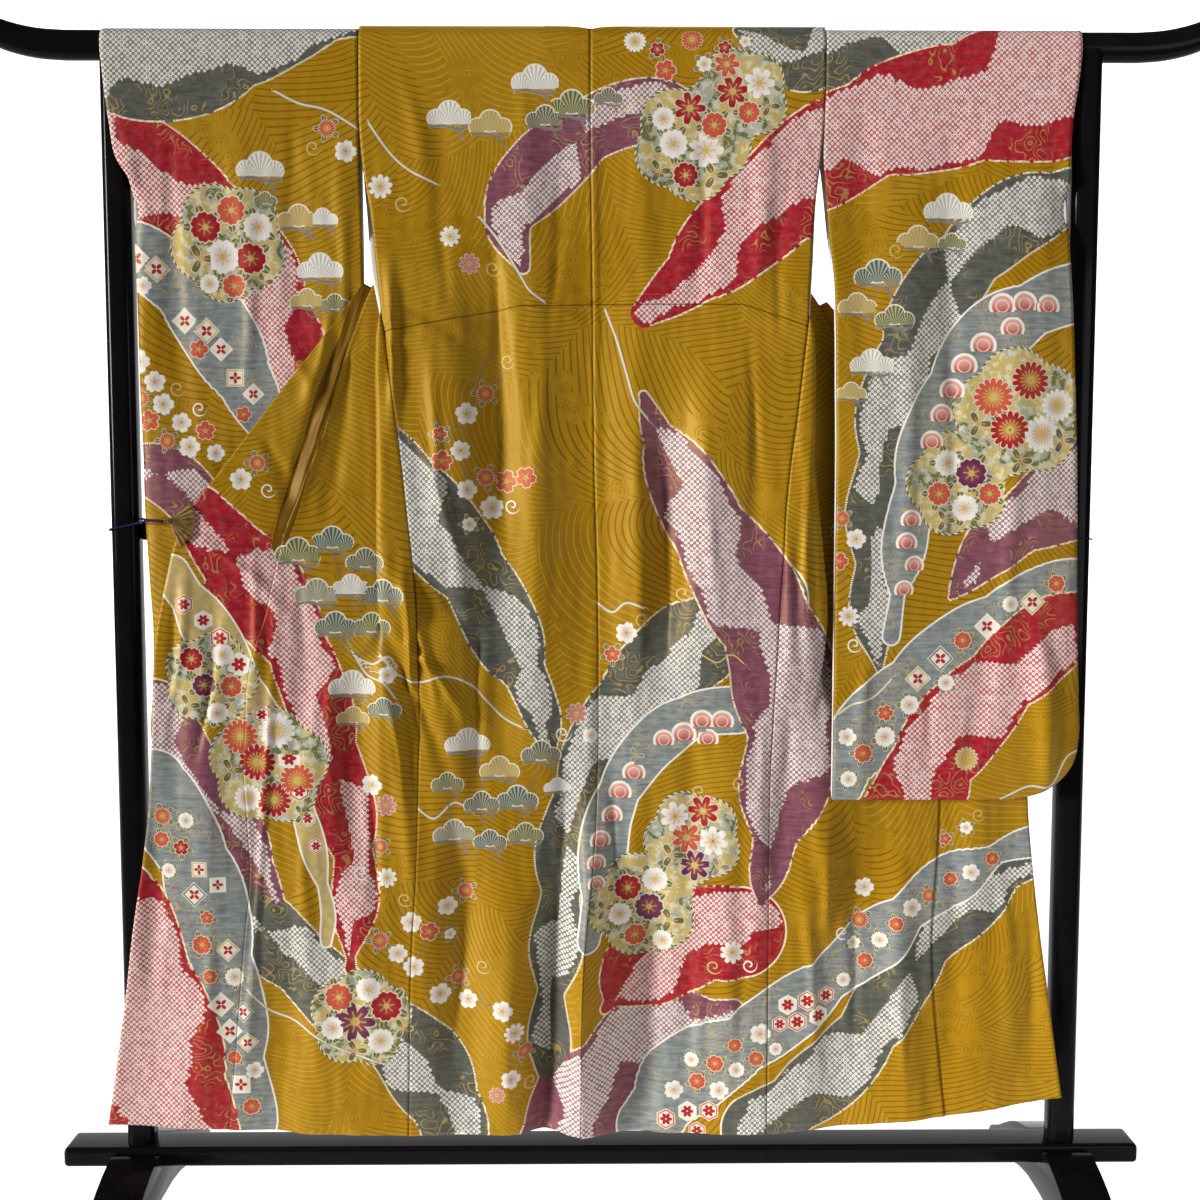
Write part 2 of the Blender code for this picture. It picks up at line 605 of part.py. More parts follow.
def body_rows(back, back_folds, front, front_folds, neck):
    """All rows of one body panel: up the back from the hem, over the bar and down the front."""
    rows = [back_row(back, back_folds, k) for k in reversed(range(len(back["z"])))]
    centre = back["centre"][0] + SEAM_GAP / CM / 2 * math.copysign(1.0, neck)
    rows += [arch_row(angle, back["side"][0], centre) for angle in FRONT_TURNS]
    rows += [arch_row(angle, front["side"][0], neck) for angle in REAR_TURNS]
    rows += [front_row(front, front_folds, k) for k in range(len(front["z"]))]
    return rows


def outward_normals(grid, outward):
    """Unit normals of a grid of points, from the directions along its rows and columns."""
    across = np.gradient(grid, axis=1)
    along = np.gradient(grid, axis=0)
    normals = np.cross(along, across) * outward
    return normals / np.linalg.norm(normals, axis=2, keepdims=True)


def share_seam(first, second):
    """Two edges that are sewn together take one normal, so that their walls meet side by side."""
    middle = first + second
    middle /= np.linalg.norm(middle, axis=-1, keepdims=True)
    first[:] = middle
    second[:] = middle


def wall_from_grid(name, grid, normals, wall):
    """A closed wall: the outer face, the inner face one wall thickness inside it, and the rim."""
    count, across = grid.shape[:2]
    outer = grid.reshape(-1, 3) * CM
    inner = outer - normals.reshape(-1, 3) * wall
    size = count * across
    faces = []
    for r in range(count - 1):
        for c in range(across - 1):
            a, b = r * across + c, r * across + c + 1
            faces.append((a, b, b + across, a + across))
            faces.append((a + size, a + size + across, b + size + across, b + size))
    rim = [c for c in range(across)]
    rim += [r * across + across - 1 for r in range(1, count)]
    rim += [(count - 1) * across + c for c in reversed(range(across - 1))]
    rim += [r * across for r in reversed(range(1, count - 1))]
    for k, here in enumerate(rim):
        after = rim[(k + 1) % len(rim)]
        faces.append((after, here, here + size, after + size))
    return closed_piece(add_object(name, np.concatenate([outer, inner]), faces, GOLD_SILK))


def side_of_kimono(side, back, back_folds, front, front_folds, edge, neck):
    """One body panel and its okumi, with the seams between them shared."""
    outward = -1.0 if side == "left" else 1.0
    panel = np.array(body_rows(back, back_folds, front, front_folds, neck))
    strip = np.array(okumi_rows(front, front_folds, edge))
    panel_normals = outward_normals(panel, outward)
    strip_normals = outward_normals(strip, outward)
    count = len(back["z"])
    panel_normals[:count, -1, 0] = 0.0
    panel_normals[:count, -1] /= np.linalg.norm(panel_normals[:count, -1], axis=1, keepdims=True)
    sewn = count - KENSAKI_ROW
    share_seam(panel_normals[:sewn, 0][::-1], panel_normals[-sewn:, 0])
    share_seam(strip_normals[:, 0], panel_normals[-sewn:, -1])
    wall_from_grid("body_" + side, panel, panel_normals, WALL)
    wall_from_grid("okumi_" + side, strip, strip_normals, WALL)


def okumi_rows(front, front_folds, okumi):
    rows = []
    for k in range(len(okumi["edge"])):
        seam = front_row(front, front_folds, KENSAKI_ROW + k)[-1]
        out = math.copysign(1.0, okumi["edge"][k])
        edge = (okumi["edge"][k], okumi["y"][k], okumi["edge_z"][k])
        start = (seam[0] + out * SEAM_GAP / CM, seam[1], seam[2])
        row = []
        for c in range(OKUMI_COLUMNS + 1):
            t = c / OKUMI_COLUMNS
            span = abs(edge[0] - start[0])
            depth = fold_depth(OKUMI_FOLDS, t, start[2], span) * 4.0 * t * (1.0 - t)
            row.append(tuple(s + (e - s) * t + (depth if axis == 1 else 0.0)
                             for axis, (s, e) in enumerate(zip(start, edge))))
        rows.append(row)
    return rows


def sleeve_wall(rows, sign, rear):
    """Rows of one wall of a sleeve, from the bar's top to the bottom seam."""
    made = []
    for angle in REAR_TURNS if rear else (REAR_TURNS[0], *reversed(FRONT_TURNS)):
        y, z = arch_place(angle)
        outer = rows["outer"][0] + SLEEVE_SHOULDER_OUT * sign
        made.append([(rows["inner"][0] + (outer - rows["inner"][0]) * t, y, z) for t in SLEEVE_ACROSS])
    bottom = rows["z"][-1]
    for k in range(len(rows["z"])):
        z = rows["z"][k]
        row = []
        for t in SLEEVE_ACROSS:
            outer = rows["rear_outer"][k] if rear else rows["outer"][k]
            x = rows["inner"][k] + (outer - rows["inner"][k]) * t
            front_y = rows["y"][k]
            rear_y = rows["rear_in"][k] + (rows["rear_out"][k] - rows["rear_in"][k]) * t
            middle = (front_y + rear_y) / 2
            round_edge = math.sqrt(1.0 - t**SLEEVE_EDGE_FULLNESS) if z <= CUFF_END / CM else 1.0
            above = min(1.0, (z - bottom) / SLEEVE_BOTTOM_ROUND)
            round_bottom = math.sqrt(1.0 - (1.0 - above) ** SLEEVE_BOTTOM_FULLNESS)
            half = (rear_y - front_y) / 2 * round_edge * max(round_bottom, 0.0)
            wave = fold_depth(SLEEVE_FOLDS, t, z, SLEEVE_WIDTH) * (1.0 - t**SLEEVE_WAVE_FULLNESS)
            row.append((x, middle + (half if rear else -half) + wave, z))
        made.append(row)
    return made


def sleeve(name, rows, sign):
    """Two walls of one length, joined at the bar, at the outer edge below the cuff and at the bottom."""
    walls = (sleeve_wall(rows, sign, False), sleeve_wall(rows, sign, True))
    count, across = len(walls[0]), len(SLEEVE_ACROSS)
    points, where = [], {}
    for w, wall_rows in enumerate(walls):
        for r in range(count):
            for c in range(across):
                z = wall_rows[r][c][2]
                shared = r == 0 or r == count - 1 or (c == across - 1 and z <= CUFF_END / CM)
                if w == 1 and shared:
                    where[w, r, c] = where[0, r, c]
                    continue
                where[w, r, c] = len(points)
                points.append(tuple(v * CM for v in wall_rows[r][c]))
    faces = []
    for w in (0, 1):
        for r in range(count - 1):
            for c in range(across - 1):
                ring = (where[w, r, c], where[w, r, c + 1], where[w, r + 1, c + 1], where[w, r + 1, c])
                faces.append(ring if (w == 0) == (sign < 0) else ring[::-1])
    return thicken(add_object(name, points, faces, GOLD_SILK), WALL)


def collar_rows(front, okumi_edge, neck):
    """Rows of one half of the collar, from the back of the neck to its lower end."""
    seam = []
    for k in range(KENSAKI_ROW + 1):
        seam.append((front["edge"][k], front["edge_y"][k], front["edge_z"][k]))
    for k in range(1, COLLAR_END_ROWS + 1):
        seam.append((okumi_edge["edge"][k], okumi_edge["y"][k], okumi_edge["edge_z"][k]))
    rows = []
    for k, (x, y, z) in enumerate(seam):
        before, after = seam[max(k - 1, 0)], seam[min(k + 1, len(seam) - 1)]
        run, drop = after[0] - before[0], after[2] - before[2]
        length = math.hypot(run, drop)
        out = math.copysign(1.0, run)
        down = (-out * abs(drop) / length, -abs(run) / length)
        row = []
        for c in range(COLLAR_COLUMNS + 1):
            part = c / COLLAR_COLUMNS
            step = COLLAR_WIDTH / CM * part
            row.append((x + down[0] * step, y + COLLAR_BEHIND + COLLAR_LEAN * part, z + down[1] * step))
        rows.append(row)
    return neck_turn(neck) + rows


def over_bar(run, stand):
    """y and z, in centimetres, of a point behind the bar, a run along the cloth from the bar's top."""
    deep = (BAR_HALF_DEEP + CLOTH_OVER_BAR_OUT + COLLAR_WALL) / CM + stand
    high = (BAR_HALF_HIGH + CLOTH_OVER_BAR_UP + COLLAR_WALL) / CM + stand
    quarter = math.pi / 2 * (deep + high) / 2
    if run < quarter:
        turn = math.pi / 2 * run / quarter
        return deep * math.sin(turn), BAR_HEIGHT / CM + high * math.cos(turn)
    return deep, BAR_HEIGHT / CM - (run - quarter)


def neck_turn(neck):
    """The collar's rows that turn from the neck seam on top of the bar to the front edge behind it."""
    inwards = -math.copysign(1.0, neck)
    rows = []
    for k in range(len(NECK_TURN["start"])):
        row = []
        for c in range(COLLAR_COLUMNS + 1):
            part = c / COLLAR_COLUMNS
            step = COLLAR_WIDTH / CM * part
            turn = math.radians(NECK_TURN["turn"][k])
            y, z = over_bar(NECK_TURN["start"][k] + step * math.cos(turn), NECK_TURN["stand"][k])
            x = neck - inwards * NECK_TURN["out"][k] + inwards * step * math.sin(turn)
            row.append((x, y, z))
        rows.append(row)
    return rows


def collar():
    left = collar_rows(FRONT_LEFT, OKUMI_LEFT, NECK_LEFT)
    right = collar_rows(FRONT_RIGHT, OKUMI_RIGHT, NECK_RIGHT)
    middle = []
    for t in (0.25, 0.5, 0.75):
        middle.append([tuple(a + (b - a) * t for a, b in zip(p, q)) for p, q in zip(left[0], right[0])])
    rows = list(reversed(left)) + middle + right
    grid = np.array(rows)
    wall_from_grid("collar", grid, outward_normals(grid, 1.0), COLLAR_WALL)


def bar_profile(x, rise, grow=0.0):
    ring = []
    for k in range(BAR_SIDES):
        turn = 2 * math.pi * k / BAR_SIDES
        y = (BAR_HALF_DEEP + grow) * math.cos(turn)
        z = BAR_HEIGHT + rise + (BAR_HALF_HIGH + grow) * math.sin(turn)
        ring.append((x, y, z))
    return ring


def bar_solid(name, stations, grow=0.0):
    points, faces = [], []
    for x, rise in stations:
        points += bar_profile(x, rise, grow)
    for s in range(len(stations) - 1):
        for k in range(BAR_SIDES):
            a, b = s * BAR_SIDES + k, s * BAR_SIDES + (k + 1) % BAR_SIDES
            faces.append((a, b, b + BAR_SIDES, a + BAR_SIDES))
    faces.append(tuple(reversed(range(BAR_SIDES))))
    last = (len(stations) - 1) * BAR_SIDES
    faces.append(tuple(range(last, last + BAR_SIDES)))
    return add_object(name, points, faces, LACQUER)


def top_bar():
    ends = [(x * CM, rise * CM) for x, rise in zip(BAR_END["x"], BAR_END["rise"])]
    stations = [(-x, rise) for x, rise in reversed(ends)] + [(x, rise) for x, rise in ends]
    return bar_solid("top_bar", stations)


def box(name, low, high, look, bevel=0.0, segments=2):
    points = [(x, y, z) for x in (low[0], high[0]) for y in (low[1], high[1]) for z in (low[2], high[2])]
    faces = [(0, 1, 3, 2), (4, 6, 7, 5), (0, 4, 5, 1), (2, 3, 7, 6), (0, 2, 6, 4), (1, 5, 7, 3)]
    obj = add_object(name, points, faces, look)
    if bevel:
        mod = obj.modifiers.new("rounded edges", "BEVEL")
        mod.width = bevel
        mod.segments = segments
    return obj


def post(name, x):
    half = POST_SIDE / 2
    top = BAR_HEIGHT + POST_OVER_BAR_CENTRE
    obj = box(name, (x - half, -half, BEAM_TOP + FIT), (x + half, half, top), LACQUER)
    mesh = bmesh.new()
    mesh.from_mesh(obj.data)
    uprights = [e for e in mesh.edges if abs(e.verts[0].co.z - e.verts[1].co.z) > 1.0]
    bmesh.ops.bevel(mesh, geom=uprights, offset=POST_ROUND, segments=2, profile=0.5, affect="EDGES")
    mesh.to_mesh(obj.data)
    mesh.free()
    cutter = bar_solid(name + "_saddle", [(x - SADDLE_REACH, 0.0), (x + SADDLE_REACH, 0.0)], FIT)
    cutter.hide_render = True
    cutter.display_type = "WIRE"
    cut = obj.modifiers.new("bar seat", "BOOLEAN")
    cut.object = cutter
    cut.operation = "DIFFERENCE"
    cut.solver = "EXACT"
    return obj


def foot(name, x):
    half = [(y * CM, z * CM) for y, z in zip(FOOT_HALF["y"], FOOT_HALF["z"])]
    outline = [(-y, z) for y, z in half] + [(y, z) for y, z in reversed(half)]
    count = len(outline)
    points = [(x - FOOT_WIDE / 2, y, z) for y, z in outline]
    points += [(x + FOOT_WIDE / 2, y, z) for y, z in outline]
    faces = [tuple(range(count)), tuple(reversed(range(count, 2 * count)))]
    for k in range(count):
        n = (k + 1) % count
        faces.append((k, k + count, n + count, n))
    return closed_piece(add_object(name, points, faces, LACQUER))


def fan_leaf(name, x, y, z, out, ribbed):
    """One leaf of a fan, pleated on its outer face where ribbed. out is -1 on the left side of the kimono."""
    steps = 2 * FAN_RIBS
    front, back = [], []
    for k in range(steps + 1):
        turn = math.radians(FAN_UP + (FAN_DOWN - FAN_UP) * k / steps)
        lift = FAN_RIB_DEPTH if ribbed and k % 2 else 0.0
        reach = FAN_RADIUS - (FAN_NOTCH if k % 2 else 0.0)
        px, pz = x - out * reach * math.cos(turn), z + reach * math.sin(turn)
        front.append((px, y - FAN_LEAF / 2 - lift, pz))
        back.append((px, y + FAN_LEAF / 2, pz))
    centre_front, centre_back = (x, y - FAN_LEAF / 2, z), (x, y + FAN_LEAF / 2, z)
    points = [centre_front, centre_back] + front + back
    first, second = 2, 2 + len(front)
    faces = []
    for k in range(steps):
        faces.append((0, first + k, first + k + 1))
        faces.append((1, second + k + 1, second + k))
        faces.append((first + k, second + k, second + k + 1, first + k + 1))
    faces.append((0, 1, second, first))
    faces.append((0, first + steps, second + steps, 1))
    return closed_piece(add_object(name, points, faces, BRASS))


def turned_ring(name, x, y, z):
    """A small wire ring that faces the viewer."""
    around, section = 14, 6
    points, faces = [], []
    for k in range(around):
        turn = 2 * math.pi * k / around
        for j in range(section):
            roll = 2 * math.pi * j / section
            reach = RING_RADIUS + RING_WIRE * math.cos(roll)
            deep = y + RING_WIRE * math.sin(roll)
            points.append((x + reach * math.cos(turn), deep, z + reach * math.sin(turn)))
    for k in range(around):
        for j in range(section):
            a, b = k * section + j, k * section + (j + 1) % section
            c, d = (k + 1) % around * section + (j + 1) % section, (k + 1) % around * section + j
            faces.append((a, b, c, d))
    return closed_piece(add_object(name, points, faces, BRASS))


def hinge_tube(name, x, y, z, length):
    """The spring tube between the leaves, along y."""
    sides = 12
    points = []
    for end in (-0.5, 0.5):
        for k in range(sides):
            turn = 2 * math.pi * k / sides
            points.append(
                (x + HINGE_RADIUS * math.cos(turn), y + end * length, z + HINGE_RADIUS * math.sin(turn))
            )
    faces = [tuple(range(sides)), tuple(reversed(range(sides, 2 * sides)))]
    for k in range(sides):
        n = (k + 1) % sides
        faces.append((k, k + sides, n + sides, n))
    return closed_piece(add_object(name, points, faces, BRASS))


def clip(name, place, out):
    """A pleated leaf in front of the cloth, a plain one behind, and a hinge and ring past its edge."""
    x, y, z, grip = (place[key][0] for key in ("x", "y", "z", "grip"))
    leaf = fan_leaf(name, x, y - FAN_LEAF / 2 - FIT, z, out, True)
    behind = y + grip
    others = [fan_leaf(name + "_rear_leaf", x, behind, z, out, False)]
    middle = (y - FAN_LEAF / 2 - FIT + behind) / 2
    length = behind - y + 2 * FAN_LEAF + HINGE_PAST_LEAVES
    others.append(hinge_tube(name + "_hinge", x + out * HINGE_PAST_LEAVES, middle, z, length))
    ring_x = x + out * (HINGE_RADIUS + RING_RADIUS)
    others.append(turned_ring(name + "_ring", ring_x, middle, z))
    for k, other in enumerate(others):
        other.hide_render = True
        other.display_type = "WIRE"
        joined = leaf.modifiers.new("join %d" % k, "BOOLEAN")
        joined.object = other
        joined.operation = "UNION"
        joined.solver = "EXACT"
    return leaf


def cord(name, route):
    """A closed loop of cord, smoothed through its route's points."""
    places = np.stack([route["x"], route["y"], route["z"]], axis=1) * CM
    count = len(places)
    smooth = []
    for k in range(count):
        a, b, c, d = (places[(k + step) % count] for step in (-1, 0, 1, 2))
        for t in (0.0, 0.5):
            bend = (2 * a - 5 * b + 4 * c - d) * t**2 + (3 * b - a - 3 * c + d) * t**3
            smooth.append(0.5 * (2 * b + (c - a) * t + bend))
    curve = bpy.data.curves.new(name, "CURVE")
    curve.dimensions = "3D"
    spline = curve.splines.new("POLY")
    spline.points.add(len(smooth) - 1)
    for point, place in zip(spline.points, smooth):
        point.co = (*place, 1.0)
    spline.use_cyclic_u = True
    curve.bevel_depth = CORD_RADIUS
    curve.bevel_resolution = 2
    curve.use_fill_caps = True
    curve.materials.append(material(PURPLE_CORD))
    obj = bpy.data.objects.new(name, curve)
    bpy.context.scene.collection.objects.link(obj)
    return obj


def rack():
    top_bar()
    half_beam = BEAM_LENGTH / 2
    low = (-half_beam, -BEAM_DEPTH / 2, BEAM_TOP - BEAM_HIGH)
    box("base_beam", low, (half_beam, BEAM_DEPTH / 2, BEAM_TOP), LACQUER, BEAM_EDGE)
    inner = POST_X - POST_SIDE / 2 - FIT
    low = (-inner, -RAIL_DEEP / 2, RAIL_HEIGHT - RAIL_HIGH / 2)
    box("middle_rail", low, (inner, RAIL_DEEP / 2, RAIL_HEIGHT + RAIL_HIGH / 2), LACQUER, RAIL_EDGE)
    for side, x in (("left", -POST_X), ("right", POST_X)):
        post("post_" + side, x)
        foot("foot_" + side, x)


def main():
    clear_scene()
    rack()
    side_of_kimono(
        "left", BACK_LEFT, BACK_LEFT_FOLDS, FRONT_LEFT, FRONT_LEFT_FOLDS, OKUMI_LEFT, NECK_LEFT
    )
    side_of_kimono(
        "right", BACK_RIGHT, BACK_RIGHT_FOLDS, FRONT_RIGHT, FRONT_RIGHT_FOLDS, OKUMI_RIGHT, NECK_RIGHT
    )
    sleeve("sleeve_left", SLEEVE_LEFT, -1.0)
    sleeve("sleeve_right", SLEEVE_RIGHT, 1.0)
    collar()
    clip("clip_left", CLIP_LEFT, -1.0)
    clip("clip_right", CLIP_RIGHT, 1.0)
    cord("cord_left", CORD_LEFT)
    cord("cord_right", CORD_RIGHT)


main()
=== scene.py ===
# %% [markdown]
# # A furisode kimono on its stand
#
# A furisode is a kimono with long hanging sleeves. This one hangs over a black lacquered stand and
# shows its back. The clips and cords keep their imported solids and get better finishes. The stand is
# modelled again with rounder edges, and each cloth solid is replaced by a fine thin sheet of its form.
# Everything is in metres, with +Z up, and the kimono's back faces -Y.

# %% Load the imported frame
import json
import math
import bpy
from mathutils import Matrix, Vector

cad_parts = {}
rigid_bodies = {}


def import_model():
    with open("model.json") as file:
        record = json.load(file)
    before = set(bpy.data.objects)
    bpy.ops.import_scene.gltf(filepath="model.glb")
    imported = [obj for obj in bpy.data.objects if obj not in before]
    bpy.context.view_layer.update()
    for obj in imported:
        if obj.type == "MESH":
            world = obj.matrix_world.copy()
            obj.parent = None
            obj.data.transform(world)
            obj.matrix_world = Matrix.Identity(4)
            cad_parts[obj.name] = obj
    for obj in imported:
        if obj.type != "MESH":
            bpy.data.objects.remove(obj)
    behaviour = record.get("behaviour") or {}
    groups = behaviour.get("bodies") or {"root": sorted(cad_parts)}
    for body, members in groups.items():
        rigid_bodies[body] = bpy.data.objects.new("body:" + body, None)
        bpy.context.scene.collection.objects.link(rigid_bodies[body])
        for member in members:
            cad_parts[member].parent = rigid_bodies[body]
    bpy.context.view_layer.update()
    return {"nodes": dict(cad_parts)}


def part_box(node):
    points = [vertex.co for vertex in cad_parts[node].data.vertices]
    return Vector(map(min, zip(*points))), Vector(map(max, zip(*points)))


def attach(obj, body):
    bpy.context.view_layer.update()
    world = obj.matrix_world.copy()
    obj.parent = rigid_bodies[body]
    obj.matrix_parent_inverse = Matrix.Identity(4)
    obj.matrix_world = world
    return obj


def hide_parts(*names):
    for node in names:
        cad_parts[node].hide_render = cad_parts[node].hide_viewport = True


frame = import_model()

from types import SimpleNamespace

import bmesh
import bpy
import numpy as np
from mathutils import Vector

CM = 0.01
print("packed nodes:", len(frame["nodes"]))

# %% [markdown]
# ## The camera
#
# The camera stands where the photographer stood: about 2.2 m away, a little above the waist, looking
# slightly down. Its place was worked out from the bar, the posts and the hem.

# %% The camera
def add_object(name, data):
    made = bpy.data.objects.new(name, data)
    bpy.context.scene.collection.objects.link(made)
    return made


camera = add_object("camera", bpy.data.cameras.new("camera"))
camera.data.lens = 44.96
camera.data.sensor_width = 36.0
camera.location = (-0.023, -2.185, 1.113)
camera.rotation_euler = (math.radians(90 - 4.74), 0.0, math.radians(-0.52))
bpy.context.scene.camera = camera
print("camera at", tuple(camera.location))

# %% [markdown]
# ## How the cloth hangs
#
# A kimono is made of straight lengths of silk. Each body panel runs in one piece from the back hem,
# over the shoulder and down the front. The tables give the places of a few rows of points on each
# panel, in centimetres. They are the same sizes that the solids were made from, so the fine sheets lie
# where the solids lie. A table is easier to correct than a sculpted mesh: one fold is one row.

# %% Tables of the cut
def rows_of(text):
    """The rows of a text. A row that ends with a stroke goes on in the next line."""
    return text.strip().replace("|\n", "|").splitlines()


def table(columns, text):
    """A table with named columns, kept as one array for each column."""
    names = columns.split()
    rows = np.array(text.split(), float).reshape(-1, len(names))
    return {name: rows[:, k] for k, name in enumerate(names)}


BACK_LEFT = table("z side centre y_side y_centre", """
168 -34.3 -1.7 -2.4 -2.4
161 -34.3 -1.7 -2.5 -2.4
155.3 -33.9 -1.7 -2.7 -2.4
148 -32.7 -1.6 -3.4 -2.4
140 -31.8 -1.5 -4.2 -2.5
132 -30.9 -1.4 -4.8 -2.6
126 -30.1 -1.4 -5 -2.6
120 -29.3 -1.3 -5.1 -2.6
112 -28.4 -1.2 -5.2 -2.6
105 -27.7 -1 -5.3 -2.6
98.5 -27 -0.8 -5.3 -2.6
93 -26.6 -0.7 -5.3 -2.6
90 -26.5 -0.65 -5.3 -2.6
86.8 -26.4 -0.6 -5.3 -2.6
83.2 -26.35 -0.6 -5.2 -2.6
79 -26.3 -0.6 -5.1 -2.6
74 -26.4 -0.6 -5 -2.6
68.5 -26.6 -0.7 -4.9 -2.6
61 -26.8 -0.9 -4.8 -2.6
53 -27.1 -1.5 -4.7 -2.7
43.5 -27.8 -2.5 -4.6 -2.9
33.5 -28.2 -3 -4.6 -3.1
24 -28.4 -3.1 -4.5 -3.3
14.2 -28.6 -3.2 -4.4 -3.5
""")
BACK_RIGHT = table("z side centre y_side y_centre", """
168 31.5 -1.7 -2.4 -2.4
161 31.3 -1.7 -2.5 -2.4
155.3 30.8 -1.7 -2.7 -2.4
148 29.9 -1.6 -3.5 -2.4
140 29.4 -1.5 -4.6 -2.5
132 28.9 -1.4 -5.4 -2.6
126 28.2 -1.4 -5.8 -2.6
120 27.5 -1.3 -6 -2.6
112 26.5 -1.2 -6.2 -2.6
105 25.9 -1 -6.3 -2.6
98.5 25.6 -0.8 -6.4 -2.6
93 25.3 -0.7 -6.4 -2.6
90 25.15 -0.65 -6.4 -2.6
86.8 25 -0.6 -6.3 -2.6
83.2 24.85 -0.6 -6.1 -2.6
79 24.65 -0.6 -5.7 -2.6
74 24.5 -0.6 -5.2 -2.6
68.5 24.3 -0.7 -4.8 -2.6
61 24.2 -0.9 -4.6 -2.6
53 24.2 -1.5 -4.4 -2.7
43.5 24.3 -2.5 -4.2 -2.9
33.5 24.3 -3 -4.1 -3.1
24 24.3 -3.1 -4.1 -3.3
14 24.3 -3.2 -4.1 -3.5
""")
FRONT_LEFT = table("z side y_side edge_z edge edge_y strip tuck swag pleat", """
168 -34.3 2.3 169 -12.3 3 0 21.5 1 0
161 -34.3 1.6 163.2 -16.6 2.7 0 19.5 1 0
155.3 -34.2 0.8 157.2 -20.6 2.1 0 18.3 1 0
148 -33.5 -0.6 151.2 -24.6 1.2 0 17.3 1 0
140 -32.7 -2.6 145 -28.8 0 0.3 15 0.8 0.2
132 -30.9 -4.8 137.9 -33.1 -2.1 1.3 11.8 0.1 0.9
126 -30.1 -5 132 -35.2 -3 2 11 0 1
120 -29.3 -5.1 126.1 -37.2 -3.7 2.8 9.8 0 1
112 -28.4 -5.2 117.7 -39.5 -4.5 3.7 8.3 0 1
105 -27.7 -5.3 110.3 -42.4 -5 4.5 6.6 0 1
98.5 -27 -5.3 102.9 -45.4 -5.3 5.2 4.8 0 1
93 -26.6 -5.3 97 -46.8 -5.4 5.6 3.6 0 0.92
90 -26.5 -5.3 93 -47.7 -5.4 5.6 3 0 0.72
86.8 -26.4 -5.3 88.8 -48.9 -5.4 5.6 2.4 0 0.45
83.2 -26.35 -5.2 84.7 -50.3 -5.4 5.6 2 0 0.18
79 -26.3 -5.1 80.2 -51 -5.3 5.6 1.8 0 0
74 -26.4 -5 75 -51.3 -5.3 5.6 1.8 0 0
68.5 -26.6 -4.9 69.1 -51.7 -5.2 5.6 1.8 0 0
61 -26.8 -4.8 61.3 -51.4 -5.1 5.6 1.8 0 0
53 -27.1 -4.7 53.5 -51.2 -5 5.6 1.8 0 0
43.5 -27.8 -4.6 43.6 -52.2 -4.8 5.6 1.8 0 0
33.5 -28.2 -4.6 33.6 -53.2 -4.6 5.6 1.8 0 0
24 -28.4 -4.5 24.6 -54.1 -4.4 5.6 1.8 0 0
14.2 -28.6 -4.4 15.2 -55.1 -4.3 5.6 1.8 0 0
""")
FRONT_RIGHT = table("z side y_side edge_z edge edge_y strip tuck swag pleat", """
168 31.5 2.3 169 8.8 3 0 21.5 1 0
161 31.3 1.6 163 13.2 2.7 0 19.5 1 0
155.3 31 0.8 156.5 17.8 2.1 0 18.3 1 0
148 30.4 -0.6 149.7 22.4 1.2 0 17.3 1 0
140 29.8 -2.8 142.7 27 -0.2 0.3 15 0.8 0.2
132 28.9 -5.4 135.5 31.3 -1.7 1.2 11.8 0.1 0.9
126 28.2 -5.8 129.5 33.8 -2.4 2 11 0 1
120 27.5 -6 123.5 36.2 -2.9 2.7 9.8 0 1
112 26.5 -6.2 116 39 -3.2 3.7 7.8 0 1
105 25.9 -6.3 109 41.8 -3.3 5 6.2 0 1
98.5 25.6 -6.4 102 44.6 -3.3 6 4.8 0 1
93 25.3 -6.4 96 46.2 -3.3 6.8 3.8 0 1
90 25.15 -6.4 92.5 47 -3.3 7 3.5 0 1
86.8 25 -6.3 88.8 47.7 -3.3 7 3.2 0 0.95
83.2 24.85 -6.1 84.8 48.2 -3.3 7 2.8 0 0.8
79 24.65 -5.7 80.2 48.6 -3.3 7 2.4 0 0.5
74 24.5 -5.2 75 48.9 -3.3 7 1.8 0 0.15
68.5 24.3 -4.8 69 49.2 -3.3 7 1.8 0 0
61 24.2 -4.6 61.3 49.2 -3.3 7 1.8 0 0
53 24.2 -4.4 53.5 48.9 -3.3 7 1.8 0 0
43.5 24.3 -4.2 43.8 48.4 -3.3 7 1.8 0 0
33.5 24.3 -4.1 34 48.9 -3.3 7 1.8 0 0
24 24.3 -4.1 24.9 49.9 -3.3 7 1.8 0 0
14 24.3 -4.1 16.4 50.9 -3.3 7 1.8 0 0
""")
OKUMI_LEFT = table("edge_z edge y", """
138.6 -34 -2.2
132.4 -38.4 -3.3
126.7 -42.8 -4.2
118.7 -48.9 -5.2
111.7 -54.2 -5.8
106 -58.6 -6
101 -60.8 -6
96.3 -62 -5.9
91.2 -63.1 -5.9
86.2 -63.9 -5.8
81 -64.2 -5.7
75.3 -64.5 -5.6
69.5 -64.9 -5.5
62.5 -65.5 -5.4
55.5 -66.5 -5.2
45.5 -68.2 -5
35.3 -69.6 -4.8
25.8 -71.1 -4.6
16.1 -72.7 -4.4
""")
OKUMI_RIGHT = table("edge_z edge y", """
136.1 32.1 -1.7
131 36.6 -2.5
125.8 41.4 -3
119.8 47 -3.3
114 52.4 -3.4
108.6 57.4 -3.4
104 60.9 -3.4
98.5 61.1 -3.4
92.8 61.2 -3.4
87.3 61.4 -3.4
81.8 61.5 -3.4
76 61.7 -3.4
69.8 61.9 -3.4
63 62.2 -3.4
55.6 62.9 -3.4
45.5 64.2 -3.4
36.3 65.6 -3.4
27.6 66.9 -3.4
19.2 68.2 -3.4
""")
